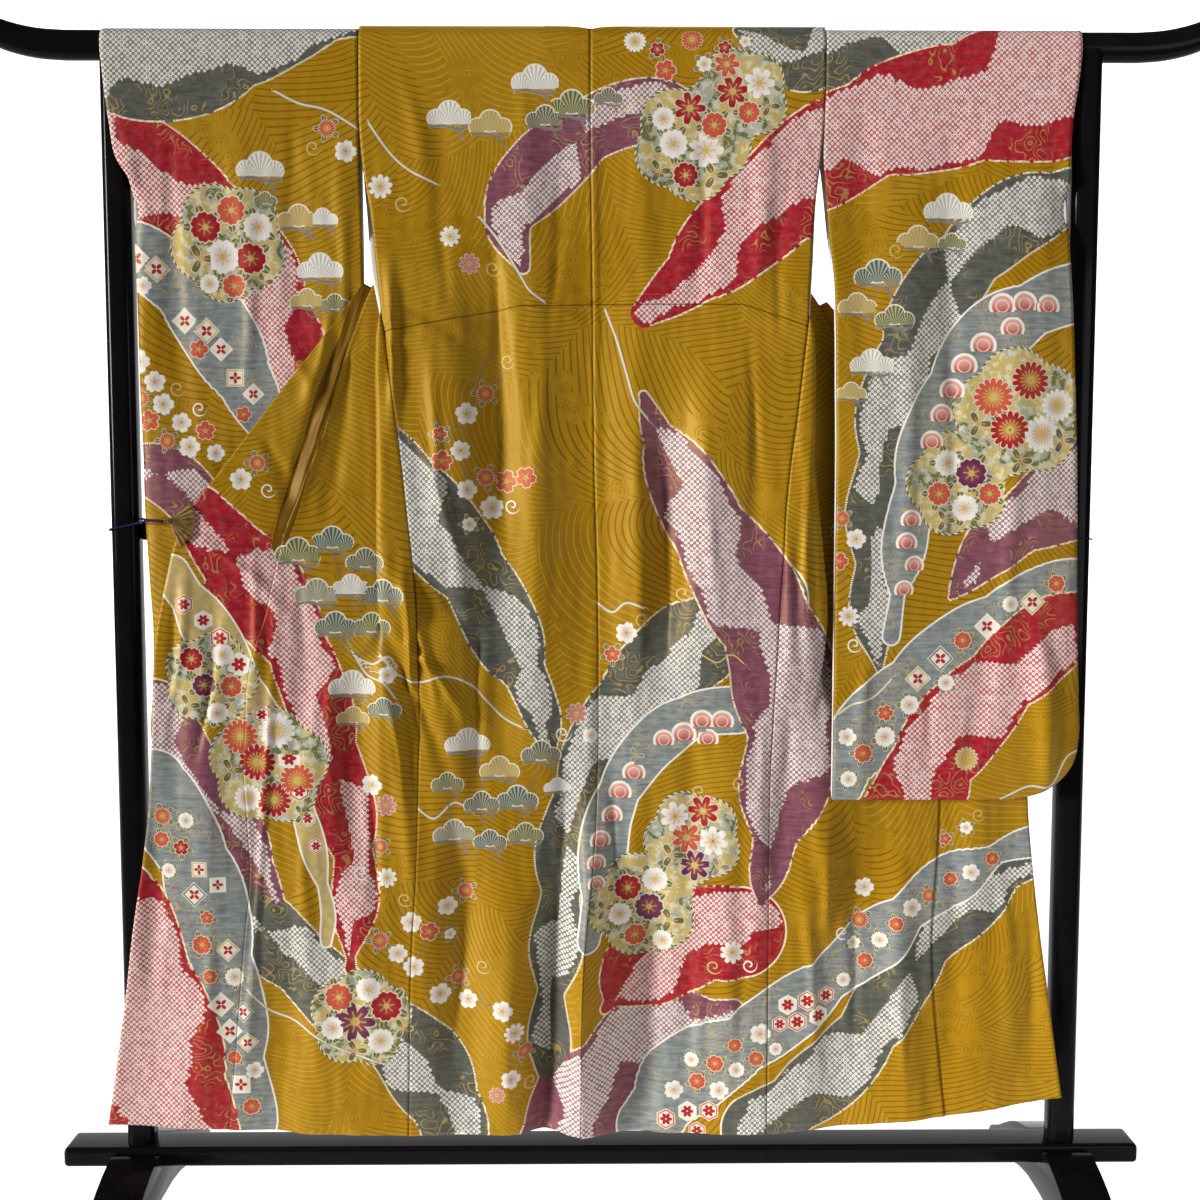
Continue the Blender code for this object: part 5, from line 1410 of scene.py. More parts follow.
class Flow:
    """A number or a colour on its way through a material."""

    def __init__(self, tree, socket=None):
        self.tree, self.socket = tree, socket

    def node(self, kind, settings=None, inputs=None, out=0):
        made = self.tree.nodes.new(kind)
        for name, value in (settings or {}).items():
            if name == "stops":
                while len(made.color_ramp.elements) < len(value):
                    made.color_ramp.elements.new(0.5)
                for element, (place, colour) in zip(made.color_ramp.elements, value):
                    element.position, element.color = place, colour
            else:
                setattr(made, name, value)
        for name, value in (inputs or {}).items():
            if isinstance(value, Flow):
                self.tree.links.new(value.socket, made.inputs[name])
            else:
                made.inputs[name].default_value = value
        return Flow(self.tree, made.outputs[out])

    def maths(self, operation, *values, clamp=False):
        settings = {"operation": operation, "use_clamp": clamp}
        return self.node("ShaderNodeMath", settings, dict(enumerate(values)))

    __add__ = __radd__ = sum_of("ADD")
    __mul__ = __rmul__ = sum_of("MULTIPLY")
    __sub__, __rsub__ = sum_of("SUBTRACT"), sum_of("SUBTRACT", turned=True)
    __truediv__, __rtruediv__ = sum_of("DIVIDE"), sum_of("DIVIDE", turned=True)
    sin, cos, root = sum_of("SINE"), sum_of("COSINE"), sum_of("SQRT")
    size, part = sum_of("ABSOLUTE"), sum_of("FRACT")
    least, most = sum_of("MINIMUM"), sum_of("MAXIMUM")

    def above(self, level, soft):
        """0 below a level and 1 above it, with a soft step."""
        return self.maths("MULTIPLY_ADD", self, 1.0 / soft, 0.5 - level / soft, clamp=True)

    def below(self, level, soft):
        return self.maths("MULTIPLY_ADD", self, -1.0 / soft, 0.5 + level / soft, clamp=True)

    def within(self, low, high, soft):
        return self.above(low, soft) * self.below(high, soft)

    def blend(self, first, second):
        """Two colours mixed by this number."""
        settings = {"data_type": "RGBA"}
        return self.node("ShaderNodeMix", settings, {0: self, 6: colour_of(first), 7: colour_of(second)}, out=2)

    def attribute(self, name, out):
        return self.node("ShaderNodeAttribute", {"attribute_name": name}, out=out)

    def split(self):
        made = self.node("ShaderNodeSeparateXYZ", None, {0: self})
        sockets = made.socket.node.outputs
        return [Flow(self.tree, sockets[k]) for k in range(3)]

    def beside(self, name):
        """Another output of the same node."""
        return Flow(self.tree, self.socket.node.outputs[name])

    def bump(self, strength, distance, height):
        return self.node("ShaderNodeBump", None, {"Strength": strength, "Distance": distance, "Height": height})

    def place(self):
        """Object coordinates, in metres."""
        return self.node("ShaderNodeTexCoord", out=3)

    def noise(self, where, scale, detail=2.0, roughness=0.5, flat=False):
        inputs = {"Vector": where, "Scale": scale, "Detail": detail, "Roughness": roughness}
        return self.node("ShaderNodeTexNoise", {"noise_dimensions": "2D" if flat else "3D"}, inputs)


def colour_of(value):
    return value if isinstance(value, Flow) else (*value[:3], 1.0)


def new_finish(name):
    """A material with its node tree, its main shader and a Flow to start sums from."""
    made = bpy.data.materials.new(name)
    made.use_nodes = True
    shader = made.node_tree.nodes["Principled BSDF"]
    return made, shader, Flow(made.node_tree)


def feed(shader, **values):
    """Links a Flow, or sets a number, on the main shader's sockets."""
    for name, value in values.items():
        socket = shader.inputs[name.replace("_", " ")]
        if isinstance(value, Flow):
            value.tree.links.new(value.socket, socket)
        else:
            socket.default_value = value


print("sums for materials ready")

# %% [markdown]
# ## The silk
#
# The ground is gold satin with a damask figure of rushing water: fine lines that turn in wide sheaves.
# The figure's sheen, which changes with the weave, is painted into the colour as lines a little darker or
# lighter than the ground, and the figure also changes the roughness. Over it come the dyed layers, then the
# flowers. The figure, the tied dots and the woven threads also lift the surface a little.
#
# Three silk materials share this work. The plainest has the ground alone, the second adds the bands and
# the third adds the flowers. Each face of a sheet takes the plainest one that shows all it has, because a
# renderer works out every node of a material at every point, seen or not.

# %% Values that all the layers share
DOT_PITCH, WARP_PITCH, WEFT_PITCH = 0.56, 0.11, 0.13
FULL_TURN, DIAGONAL = 2 * math.pi, 0.7071


def start_silk(name):
    made, shader, flow = new_finish(name)
    s = SimpleNamespace(material=made, shader=shader, flow=flow)
    s.map = flow.node("ShaderNodeUVMap", {"uv_map": "cloth"})
    u, v, _ = s.map.split()
    s.v_metres, s.u, s.v = v, u * 100.0, v * 100.0
    s.fine = flow.noise(s.map, 90.0, 2.0, 0.6, flat=True)
    s.mottle = flow.noise(s.map, 14.0, 2.0, 0.5, flat=True)
    s.drift_a = flow.noise(s.map, 2.8, 0.0, flat=True)
    s.drift_b = flow.noise(s.map, 3.7, 0.0, flat=True)
    warp = ((s.u + s.v) * (FULL_TURN / WARP_PITCH)).sin() * 0.5
    s.weave = warp + ((s.u - s.v) * (FULL_TURN / WEFT_PITCH)).sin() * 0.5
    return s


print("dot pitch in centimetres:", DOT_PITCH)

# %% [markdown]
# ### Sheaves of fine lines
#
# A Voronoi texture cuts the cloth into fields. Each field gets lines of its own direction, as wide arcs
# round a far point, so that the sheaves meet at sharp borders. Small crests curl between them.

# %% Painting the ground
GOLD, GOLD_DEEP, GOLD_LIGHT = (0.365, 0.182, 0.0030), (0.085, 0.036, 0.0010), (0.58, 0.345, 0.030)
LINE_PITCH, ARC_RADIUS, CREST_SIZE, CREST_RINGS = 0.76, 18.0, 42.0, 4.5


def paint_ground(s):
    bent_u, bent_v = s.u + (s.drift_a - 0.5) * 12.0, s.v + (s.drift_b - 0.5) * 12.0
    bent = s.flow.node("ShaderNodeCombineXYZ", None, {0: bent_u, 1: bent_v})
    voronoi = {"voronoi_dimensions": "2D"}
    sheaf = s.flow.node("ShaderNodeTexVoronoi", voronoi, {"Vector": bent, "Scale": 0.056}, out=1)
    turn, tone, _ = sheaf.split()
    turn = turn * 2.1 + (0.5 * math.pi - 1.05)
    middle_u, middle_v, _ = sheaf.beside("Position").split()
    arc_u = bent_u - middle_u - ARC_RADIUS * turn.cos()
    arc_v = bent_v - middle_v - ARC_RADIUS * turn.sin()
    water = ((arc_u * arc_u + arc_v * arc_v).root() * (FULL_TURN / LINE_PITCH)).sin()
    crest = s.flow.node("ShaderNodeTexVoronoi", voronoi, {"Vector": s.map, "Scale": CREST_SIZE})
    crest_v = crest.beside("Position").split()[1]
    curl = (crest * (FULL_TURN * CREST_RINGS)).sin().above(0.45, 0.5) * crest.below(0.52, 0.05)
    curl = curl * (s.v_metres - crest_v).above(-0.003, 0.003)
    curled = s.mottle.above(0.585, 0.02) * s.drift_b.above(0.47, 0.04)
    s.figure = water.above(0.72, 0.30) * (1.0 - curled) + curl * curled * 0.6
    pale = s.drift_a.above(0.555, 0.04)
    ground = (tone.above(0.5, 1.0) * 0.24).blend(GOLD, GOLD_LIGHT)
    ground = (pale * 0.16).blend(ground, GOLD_DEEP)
    ground = (s.mottle.above(0.5, 0.6) * 0.12).blend(ground, GOLD_DEEP)
    ground = (s.fine.above(0.5, 0.5) * 0.14).blend(ground, GOLD_LIGHT)
    # The woven figure's lines carry painted sheen: the colour is made darker or lighter where the weave would
    # catch the light.
    s.colour = (s.figure * (0.55 - 0.12 * pale)).blend(ground, pale.blend(GOLD_DEEP, GOLD_LIGHT))


print("sheaf lines every", LINE_PITCH, "cm")

# %% [markdown]
# ### Tied dots
#
# Shibori dots are tied one by one on slanting rows. Each leaves a pale disc with a small dark point in
# it, and the net of cloth between them keeps the dye. The edge of the tied field follows whole dots, so
# the depth inside the band is read at the middle of each dot.

# %% The dots
def paint_dots(s):
    slant_a, slant_b = (s.u + s.v) * DIAGONAL, (s.u - s.v) * DIAGONAL
    a, b = (slant_a / DOT_PITCH).part() - 0.5, (slant_b / DOT_PITCH).part() - 0.5
    away = (a * a + b * b).root()
    s.bead = away.within(0.10, 0.40, 0.10)
    ragged = away + (s.fine - 0.5) * 0.34
    s.disc = ragged.below(0.385, 0.07)
    s.dot_point = ragged.below(0.10, 0.05)
    s.off_u, s.off_v = (a + b) * (DIAGONAL * DOT_PITCH), (a - b) * (DIAGONAL * DOT_PITCH)
    s.scribble = s.flow.noise(s.map, 34.0, 1.0, 0.4, flat=True)
    s.gold_lines = ((s.scribble * 46.0).sin()).above(0.84, 0.25)
    s.rosettes = s.mottle.above(0.53, 0.05)
    stretched = s.flow.node("ShaderNodeCombineXYZ", None, {0: s.u * 0.30 + s.v * 0.10, 1: s.v * 2.3})
    s.streak = s.flow.noise(stretched, 1.0, 2.0, 0.6, flat=True)


print("a pale disc is about", round(DOT_PITCH * 0.77 * 10, 1), "mm wide")

# %% [markdown]
# ### One dyed layer over another
#
# The mesh holds three layers, so that bands which touch lie in different layers. Each layer is drawn
# over what is below it: outline first, then margin, then dots or mist.

# %% Painting a layer
def paint_band(s, number):
    flow = s.flow
    edge, dots, along = flow.attribute("band_%d" % number, 1).split()
    way_u, way_v, _ = flow.attribute("way_%d" % number, 1).split()
    dye = flow.attribute("dye_%d" % number, 0)
    kind = flow.attribute("dye_%d" % number, 3)
    tied = kind.below(TIED_BELOW, 0.05)
    # A plain band, the painted fold shade, shows its colour alone, with no rim.
    golden, plain = kind.above(GOLDEN_ABOVE, 0.05), kind.above(PLAIN_ABOVE, 0.05)
    inside = edge.above(0.0, 0.05)
    field = (dots - way_u * s.off_u - way_v * s.off_v + (s.mottle - 0.5) * 0.9).above(0.0, 0.03)
    margin = (s.streak.above(0.52, 0.3) * 0.36).blend(dye, (0.012, 0.007, 0.008))
    margin = (s.fine.above(0.55, 0.25) * 0.06).blend(margin, (0.55, 0.42, 0.40))
    margin = (s.gold_lines * s.rosettes * dots.within(-5.0, -0.5, 0.3) * 0.7).blend(margin, (0.46, 0.30, 0.08))
    pale = (0.02 + s.fine * 0.16).blend((0.88, 0.83, 0.76), dye)
    net = (0.10 + s.mottle * 0.18).blend(dye, (0.62, 0.58, 0.54))
    tied_field = s.disc.blend(net, pale)
    tied_field = s.dot_point.blend(tied_field, dye)
    tied_look = field.blend(margin, tied_field)
    mist = (s.streak.above(0.52, 0.3) * 0.28).blend(dye, (0.46, 0.46, 0.40))
    mist = (s.streak.below(0.46, 0.3) * 0.24).blend(mist, (0.06, 0.075, 0.085))
    mist = (s.fine.above(0.5, 0.3) * 0.22).blend(mist, (0.40, 0.42, 0.38))
    mist = (s.gold_lines * s.rosettes * 0.6).blend(mist, (0.52, 0.36, 0.11))
    sand = (s.fine.above(0.5, 0.3) * 0.5).blend(dye, (0.28, 0.24, 0.16))
    look = tied.blend(golden.blend(mist, sand), tied_look)
    stitch = ((along * 21.0).sin()).above(-0.55, 0.5)
    rim = edge.within(0.0, 0.28, 0.06) * (tied * stitch + (1.0 - tied)) * (1.0 - plain)
    rim_colour = tied.blend((0.80, 0.75, 0.66), (0.84, 0.70, 0.46))
    look = rim.blend(plain.blend(look, dye), rim_colour)
    s.colour = inside.blend(s.colour, look)
    s.covered = s.covered.most(inside)
    s.tied = (s.tied * (1.0 - inside)).most(tied * inside * field)


def paint_bands(s):
    paint_dots(s)
    s.covered = s.tied = s.flow.attribute("seam", 2) * 0.0
    for number in range(LAYERS):
        paint_band(s, number)


print("layers of bands:", LAYERS)

# %% [markdown]
# ### Medallions and drawn lines
#
# Round medallions with scalloped rims hold the largest flowers, on a ground of gold leaf and grey.
# White cords of outline, stems and gold threads are drawn along their own lines. The white cords have a painted
# shadow along both sides.

# %% Painting the medallions and the lines
def paint_medallions(s):
    edge, _, turned = s.flow.attribute("band_%d" % LAYERS, 1).split()
    disc = edge.above(0.0, 0.06)
    leafy = s.flow.noise(s.map, 24.0, 1.0, 0.5, flat=True)
    ground = leafy.above(0.49, 0.03).blend((0.34, 0.36, 0.31), (0.50, 0.39, 0.14))
    ground = leafy.within(0.33, 0.435, 0.015).blend(ground, (0.130, 0.150, 0.045))
    ground = (s.gold_lines * 0.55).blend(ground, (0.50, 0.34, 0.10))
    ground = (s.fine.above(0.55, 0.1) * 0.5).blend(ground, (0.74, 0.70, 0.55))
    twist = ((turned * 6.6 + edge * 9.0).sin()).above(0.0, 0.5)
    rim = twist.blend((0.09, 0.08, 0.05), (0.70, 0.60, 0.40))
    ground = edge.within(0.0, 0.26, 0.06).blend(ground, rim)
    s.colour = disc.blend(s.colour, ground)
    s.covered = s.covered.most(disc)
    s.tied = s.tied * (1.0 - disc)


def paint_drawn_lines(s):
    outline, stem, thread = s.flow.attribute("drawn", 1).split()
    # painted shadow: a dark border along both sides of each white outline cord
    colour = (outline.size().below(0.24, 0.05) * 0.7).blend(s.colour, (0.16, 0.14, 0.12))
    colour = outline.size().below(0.15, 0.05).blend(colour, (0.66, 0.60, 0.44))
    colour = (stem.size().below(0.10, 0.05) * 0.85).blend(colour, (0.20, 0.17, 0.11))
    s.colour = thread.size().below(0.10, 0.05).blend(colour, (0.62, 0.45, 0.16))


print("medallions to paint:", len(roundels))

# %% [markdown]
# ### Flowers, tiles, pines, waves and tendrils
#
# A flower is one petal folded round its middle. The angle is cut into equal sectors, one for each petal,
# and every sector draws the same ellipse. The number of petals and their width come from the mesh, so
# the same few nodes draw a cherry blossom, a chrysanthemum, a maple leaf or a hexagonal tile.

# %% Flowers and tiles
def ellipse(x, y, place, long, wide):
    """1 on the edge of an ellipse, less inside."""
    return (((x - place) / long) * ((x - place) / long) + (y / wide) * (y / wide)).root()


def paint_flowers(m):
    petal_q = ellipse(m.petal_x, m.petal_y, 0.52, 0.47, m.petal_half)
    petal_q = petal_q + (0.16 - m.petal_y.size()).most(0.0) * m.petal_x.above(0.80, 0.1) * 1.6
    petal = petal_q.below(1.0, 0.12)
    leaf_x, leaf_y = m.folded(5.0, 0.0, 1.0)
    leaf_q = ellipse(leaf_x, leaf_y, 0.72, 0.29, 0.20)
    leaf = leaf_q.below(1.0, 0.12) * m.reach.below(0.9, 0.02)
    leaf_colour = (leaf_y.size().below(0.03, 0.03) * 0.7).blend((0.105, 0.125, 0.06), (0.55, 0.45, 0.22))
    leaf_colour = leaf_q.within(0.80, 1.1, 0.12).blend(leaf_colour, (0.60, 0.52, 0.32))
    tone = (m.petal_x.below(0.42, 0.5) * 0.40).blend(m.dye, (0.42, 0.10, 0.10))
    tone = (petal_q.within(0.82, 1.2, 0.10) * 0.85).blend(tone, (0.80, 0.70, 0.52))
    stamen = m.petal_y.size().below(0.035, 0.04) * m.petal_x.below(0.46, 0.06)
    tone = (stamen * 0.8).blend(tone, (0.55, 0.36, 0.08))
    tone = (m.radius / m.reach).below(0.17, 0.06).blend(tone, (0.58, 0.40, 0.10))
    return petal.most(leaf), petal.blend(leaf_colour, tone)


def paint_tiles(m):
    look = m.petal_x.above(0.62, 0.06).blend((0.74, 0.68, 0.55), m.dye)
    small = ellipse(m.petal_x, m.petal_y, 0.30, 0.24, 0.15).below(1.0, 0.15)
    look = small.blend(look, (0.38, 0.015, 0.025))
    look = m.petal_x.within(0.73, 0.9, 0.05).blend(look, (0.78, 0.72, 0.58))
    return m.petal_x.below(0.80, 0.05), look


print("flowers and tiles ready")

# %% Pines, waves and curls
def paint_pines(m):
    flow, x = m.flow, m.x.size()
    side = ((x - 0.56) * (x - 0.56) + (m.y + 0.10) * (m.y + 0.10)).root() / 0.42
    middle = (m.x * m.x + (m.y - 0.16) * (m.y - 0.16)).root() / 0.52
    side_near = (middle - side).above(0.0, 0.02)
    lobe = middle.least(side)
    turn = (side_near * flow.maths("ARCTAN2", x - 0.56, m.y + 0.42)
            + (1.0 - side_near) * flow.maths("ARCTAN2", m.x, m.y + 0.30))
    needles = ((turn * 26.0).sin()).above(0.15, 0.5)
    pale_pine = m.dye.split()[0].above(0.40, 0.1)
    needle_colour = pale_pine.blend((0.66, 0.58, 0.36), (0.24, 0.22, 0.15))
    look = (needles * 0.55).blend(m.dye, needle_colour)
    look = lobe.within(0.88, 1.2, 0.06).blend(look, (0.78, 0.72, 0.58))
    branch = (m.y + 0.46 + (m.x * 4.0).sin() * 0.07).size().below(0.06, 0.03) * x.below(0.85, 0.1)
    trunk = (m.x - 0.10 + m.y * 0.5).size().below(0.06, 0.04) * m.y.within(-0.98, -0.40, 0.06)
    wood = branch.most(trunk)
    cover = lobe.below(1.0, 0.08) * m.y.above(-0.34, 0.06)
    return cover.most(wood), wood.blend(look, (0.19, 0.19, 0.17))


def paint_waves(m):
    look = m.y.above(-0.1, 0.8).blend((0.40, 0.035, 0.035), (0.66, 0.33, 0.27))
    look = m.radius.within(0.42, 0.50, 0.05).blend(look, (0.80, 0.62, 0.52))
    look = m.radius.above(0.76, 0.05).blend(look, (0.82, 0.76, 0.66))
    return m.radius.below(0.98, 0.05) * m.y.above(-0.45, 0.05), look


def paint_curls(m):
    turns = (m.radius * 1.5 - m.turn / FULL_TURN).part() - 0.5
    return turns.size().below(0.13, 0.06) * m.radius.within(0.10, 0.90, 0.06), m.dye


print("pines, waves and curls ready")

# %% All the small motifs
def paint_motif(s):
    flow = s.flow
    m = SimpleNamespace(flow=flow, dye=flow.attribute("motif_dye", 0))
    m.x, m.y, _ = flow.node("ShaderNodeUVMap", {"uv_map": "motif"}).split()
    petals, m.petal_half, m.reach = flow.attribute("motif_form", 1).split()
    m.radius, m.turn = (m.x * m.x + m.y * m.y).root(), flow.maths("ARCTAN2", m.y, m.x)

    def folded(count, offset, reach):
        """A place in the sector of its petal: along the petal and across it, in parts of its reach."""
        sector = FULL_TURN / count
        bend = ((m.turn / sector + offset).part() - 0.5) * sector
        return m.radius * bend.cos() / reach, m.radius * bend.sin() / reach

    m.folded = folded
    m.petal_x, m.petal_y = folded(petals, 0.5, m.reach)
    kind = flow.attribute("motif_dye", 3)
    cover, look = paint_flowers(m)
    cover = cover * kind.within(0.05, 0.2, 0.02)
    for paint, low in ((paint_tiles, 0.2), (paint_pines, 0.4), (paint_waves, 0.6), (paint_curls, 0.8)):
        chosen = kind.within(low, low + 0.2, 0.02)
        this_cover, this_look = paint(m)
        look = chosen.blend(look, this_look)
        cover = cover + chosen * this_cover
    s.colour = cover.blend(s.colour, look)
    s.covered = s.covered.most(cover)
    s.tied = s.tied * (1.0 - cover)


print("sorts of motif:", 5)

# %% Seams, sheen and relief, and the three materials. The four numbers are shares of the roughness.
def finish_silk(s, relief):
    seam_away = s.flow.attribute("seam", 2).size()
    seam_line = seam_away.below(0.085, 0.07)
    colour = (seam_line * 0.72).blend(s.colour, (0.030, 0.014, 0.002))
    puckers = seam_away.below(0.9, 0.8) * ((s.u + s.v) * 6.0).sin()
    relief = relief + s.weave * 0.10 + puckers * 0.16 - seam_line * 1.6
    bump = s.flow.bump(0.42, 0.0005, relief)
    feed(s.shader, Base_Color=colour, Roughness=s.rough, Normal=bump)
    feed(s.shader, Specular_IOR_Level=0.32, Specular_Tint=(1.0, 0.70, 0.20, 1.0))
    print(s.material.name, "nodes:", len(s.material.node_tree.nodes))
    return s.material


SATIN, FIGURED, TIED, FINE = 0.39, 0.17, 0.20, 0.05


def make_silk(name, banded, flowered):
    s = start_silk(name)
    paint_ground(s)
    if not banded:
        s.rough = SATIN + FIGURED * s.figure + FINE * s.fine
        return finish_silk(s, s.figure * -0.5)
    paint_bands(s)
    paint_medallions(s)
    paint_drawn_lines(s)
    if flowered:
        paint_motif(s)
    s.rough = SATIN + FIGURED * s.figure * (1.0 - s.covered) + TIED * s.tied + FINE * s.fine
    return finish_silk(s, s.bead * s.tied)


silks = [make_silk("gold silk", False, False), make_silk("gold silk with bands", True, False),
         make_silk("gold silk with flowers", True, True)]

# %% [markdown]
# ### The lining
#
# Inside, the kimono has a thin lining of plain off-white silk, a little uneven in tone.

# %% The lining
lining, lining_shader, flow = new_finish("off-white lining")
lining_map = flow.node("ShaderNodeUVMap", {"uv_map": "cloth"})
lu, lv, _ = lining_map.split()
thread = (lu * 5200.0).sin() * 0.5 + (lv * 4700.0).sin() * 0.5
cloud = flow.noise(lining_map, 9.0, 3.0, 0.5)
tone = cloud.blend((0.66, 0.62, 0.54), (0.78, 0.75, 0.68))
bump = flow.bump(0.25, 0.0002, thread)
feed(lining_shader, Base_Color=tone, Roughness=0.42 + 0.14 * cloud, Normal=bump)
print("lining ready")

# %% [markdown]
# ## The sheets of the kimono
#
# Seven fine sheets stand for the seven cut pieces: two body panels, two overlaps, two sleeves and the
# collar band.

# %% Creases added to a grid
def with_creases(grid):
    made = grid.copy()
    made[:, :, 1] += crease_depth(grid[:, :, 0], grid[:, :, 2])
    return made


def edge_distance(grid, edges):
    """Distance in centimetres from the sewn edges of a grid, for each point."""
    rows, columns = grid.shape[:2]
    best = np.full((rows, columns), FAR)
    across = lengths_along(grid)
    if "first" in edges:
        best = np.minimum(best, across)
    if "last" in edges:
        best = np.minimum(best, across[:, -1:] - across)
    return best


print("a sheet's place without a seam near it is marked", FAR)

# %% Body panels and overlaps
OKUMI_CELLS, OKUMI_CELL = 36, 0.48
HIDDEN_ROWS = 5


def hang_side(side, panel, okumi, neck, outward):
    """One body panel and the overlap that is sewn to it."""
    name = "body_" + side
    first_hidden = len(panel[0]["z"]) + len(FRONT_TURNS) + len(REAR_TURNS) - 1
    hidden = range(first_hidden, first_hidden + HIDDEN_ROWS)
    grid = with_creases(fine_sheet(body_rows(*panel, neck), BODY_CELLS, BODY_CELL, hidden))
    height = printed_height(grid)
    front_part = np.repeat(np.arange(len(grid)) > int(np.argmax(grid[:, 0, 2])), grid.shape[1])
    tuck = distance_to_line(STITCHED_TUCK[name], grid[:, :, 0].ravel(), height.ravel())
    seam = nearer(edge_distance(grid, ("first", "last")).ravel(), np.where(front_part, FAR, tuck))
    piece = hang_grid(name + "_silk", grid, outward, height, seam, front_part)
    finish_sheet(piece, WALL, name)

    name = "okumi_" + side
    grid = with_creases(fine_sheet(okumi_rows(*panel[2:], okumi), OKUMI_CELLS, OKUMI_CELL))
    seam = edge_distance(grid, ("first",)).ravel()
    piece = hang_grid(name + "_silk", grid, outward, grid[:, :, 2], seam, np.ones(len(seam), bool))
    finish_sheet(piece, WALL, name)


hang_side("left", LEFT, OKUMI_LEFT, NECK_LEFT, -1.0)
hang_side("right", RIGHT, OKUMI_RIGHT, NECK_RIGHT, 1.0)

# %% Sleeves
SLEEVE_CELLS, SLEEVE_CELL = 66, 0.52


def fine_rows(grid, count):
    """The same wall with a given number of rows."""
    steps = np.linalg.norm(np.diff(grid, axis=0), axis=2).mean(axis=1)
    knots = running(steps)
    places = np.interp(np.linspace(0.0, 1.0, count), np.linspace(0.0, 1.0, len(knots)), knots)
    return read_along(grid, knots, places)


def hang_sleeve(side, rows, sign):
    """A folded length: two walls that share the bar's line, the bottom and the outer edge below the cuff."""
    name = "sleeve_" + side
    walls = [fine_sheet(sleeve_wall(rows, sign, rear), SLEEVE_CELLS, SLEEVE_CELL) for rear in (False, True)]
    walls = [with_creases(wall) for wall in walls]
    lines = min(len(wall) for wall in walls)
    top, rest = [fine_rows(wall, lines) for wall in walls]
    columns = top.shape[1]
    shared = np.zeros((lines, columns), bool)
    shared[0], shared[-1] = True, True
    shared[:, -1] |= top[:, -1, 2] <= CUFF_END
    rest[shared] = top[shared]
    index = numbered(top)
    other = index.copy()
    other[~shared] = lines * columns + np.arange(int((~shared).sum()))
    points = np.concatenate([top.reshape(-1, 3), rest[~shared]])
    faces = np.concatenate([grid_faces(index, sign), grid_faces(other, -sign)])
    printed = np.concatenate([on_paper(top, printed_height(top)).reshape(-1, 2),
                              on_paper(rest, printed_height(rest))[~shared]])
    seam = np.concatenate([edge_distance(top, ("first",)).ravel(), edge_distance(rest, ("first",))[~shared]])
    piece = sheet_mesh(name + "_silk", points, faces, printed, name, seam)
    finish_sheet(piece, WALL, name)


hang_sleeve("left", SLEEVE_LEFT, -1.0)
hang_sleeve("right", SLEEVE_RIGHT, 1.0)

# %% The collar
COLLAR_CELLS, COLLAR_CELL = 10, 0.8
grid = fine_sheet(collar_rows(), COLLAR_CELLS, COLLAR_CELL)
seam = edge_distance(grid, ("first",)).ravel()
collar = hang_grid("collar_silk", grid, 1.0, grid[:, :, 2], seam)
finish_sheet(collar, COLLAR_WALL, "collar")

# %% [markdown]
# ## The stand
#
# The stand is wood under many coats of black lacquer, polished until it mirrors the room. Its finish is
# almost black and glossy, with a few soft dents and a faint bloom of dust on upward faces.

# %% Black lacquer
lacquer, lacquer_shader, flow = new_finish("polished black lacquer")
object_place = flow.place()
ripple = flow.noise(object_place, 9.0, 2.0, 0.4)
dust = flow.noise(object_place, 160.0, 4.0, 0.7)
rub = flow.noise(object_place, 22.0, 4.0, 0.6)
facing = flow.node("ShaderNodeNewGeometry", out=1).split()[2]
bloom = facing.above(0.7, 0.4) * dust.above(0.55, 0.2) * 0.35
lacquer_tone = rub.blend((0.0035, 0.0032, 0.0038), (0.008, 0.007, 0.0075))
lacquer_tone = bloom.blend(lacquer_tone, (0.016, 0.015, 0.015))
lacquer_rough = 0.09 + 0.10 * rub.above(0.55, 0.3) + 0.25 * bloom
bump = flow.bump(0.12, 0.0008, ripple + dust * 0.05)
feed(lacquer_shader, Base_Color=lacquer_tone, Roughness=lacquer_rough, Normal=bump, Specular_IOR_Level=0.05)
print("lacquer ready")

# %% Aged brass for the clips
brass, brass_shader, flow = new_finish("aged brass")
object_place = flow.place()
tarnish = flow.noise(object_place, 120.0, 4.0, 0.6)
scratch = flow.noise(object_place, 700.0, 2.0, 0.5)
brass_tone = tarnish.above(0.52, 0.25).blend((0.52, 0.36, 0.12), (0.20, 0.12, 0.04))
bump = flow.bump(0.3, 0.0002, scratch + tarnish * 0.5)
feed(brass_shader, Base_Color=brass_tone, Roughness=0.28 + 0.25 * tarnish, Metallic=1.0, Normal=bump)
print("brass ready")

# %% Twisted purple cord
cord_finish, cord_shader, flow = new_finish("twisted purple cord")
object_place = flow.place()
cx, cy, cz = object_place.split()
lay = ((cx * 2600.0 + cz * 3100.0 + cy * 2300.0).sin()).above(0.0, 1.2)
fuzz = flow.noise(object_place, 1500.0, 3.0, 0.7)
# The strands' colour has painted light and shade: lighter on the crowns of the twist and darker in its grooves,
# where the bump is low.
cord_tone_and_groove_shade = lay.blend((0.009, 0.004, 0.036), (0.032, 0.014, 0.11))
bump = flow.bump(0.6, 0.0003, lay + fuzz * 0.4)
feed(cord_shader, Base_Color=cord_tone_and_groove_shade, Roughness=0.55 + 0.3 * fuzz, Normal=bump, Specular_IOR_Level=0.15)
print("cord ready")

# %% [markdown]
# ## The stand, with rounder edges
#
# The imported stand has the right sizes, but few faces. Polished lacquer shows the roundness of each edge as
# a long thin line of light. So the posts, beams, feet and bar are modelled again at the same sizes and
# places, each with its own edges rounded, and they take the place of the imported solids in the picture.

# %% Small helpers
def nothing_selected():
    if bpy.context.object and bpy.context.object.mode == "EDIT":
        bpy.ops.object.mode_set(mode="OBJECT")
    bpy.ops.object.select_all(action="DESELECT")


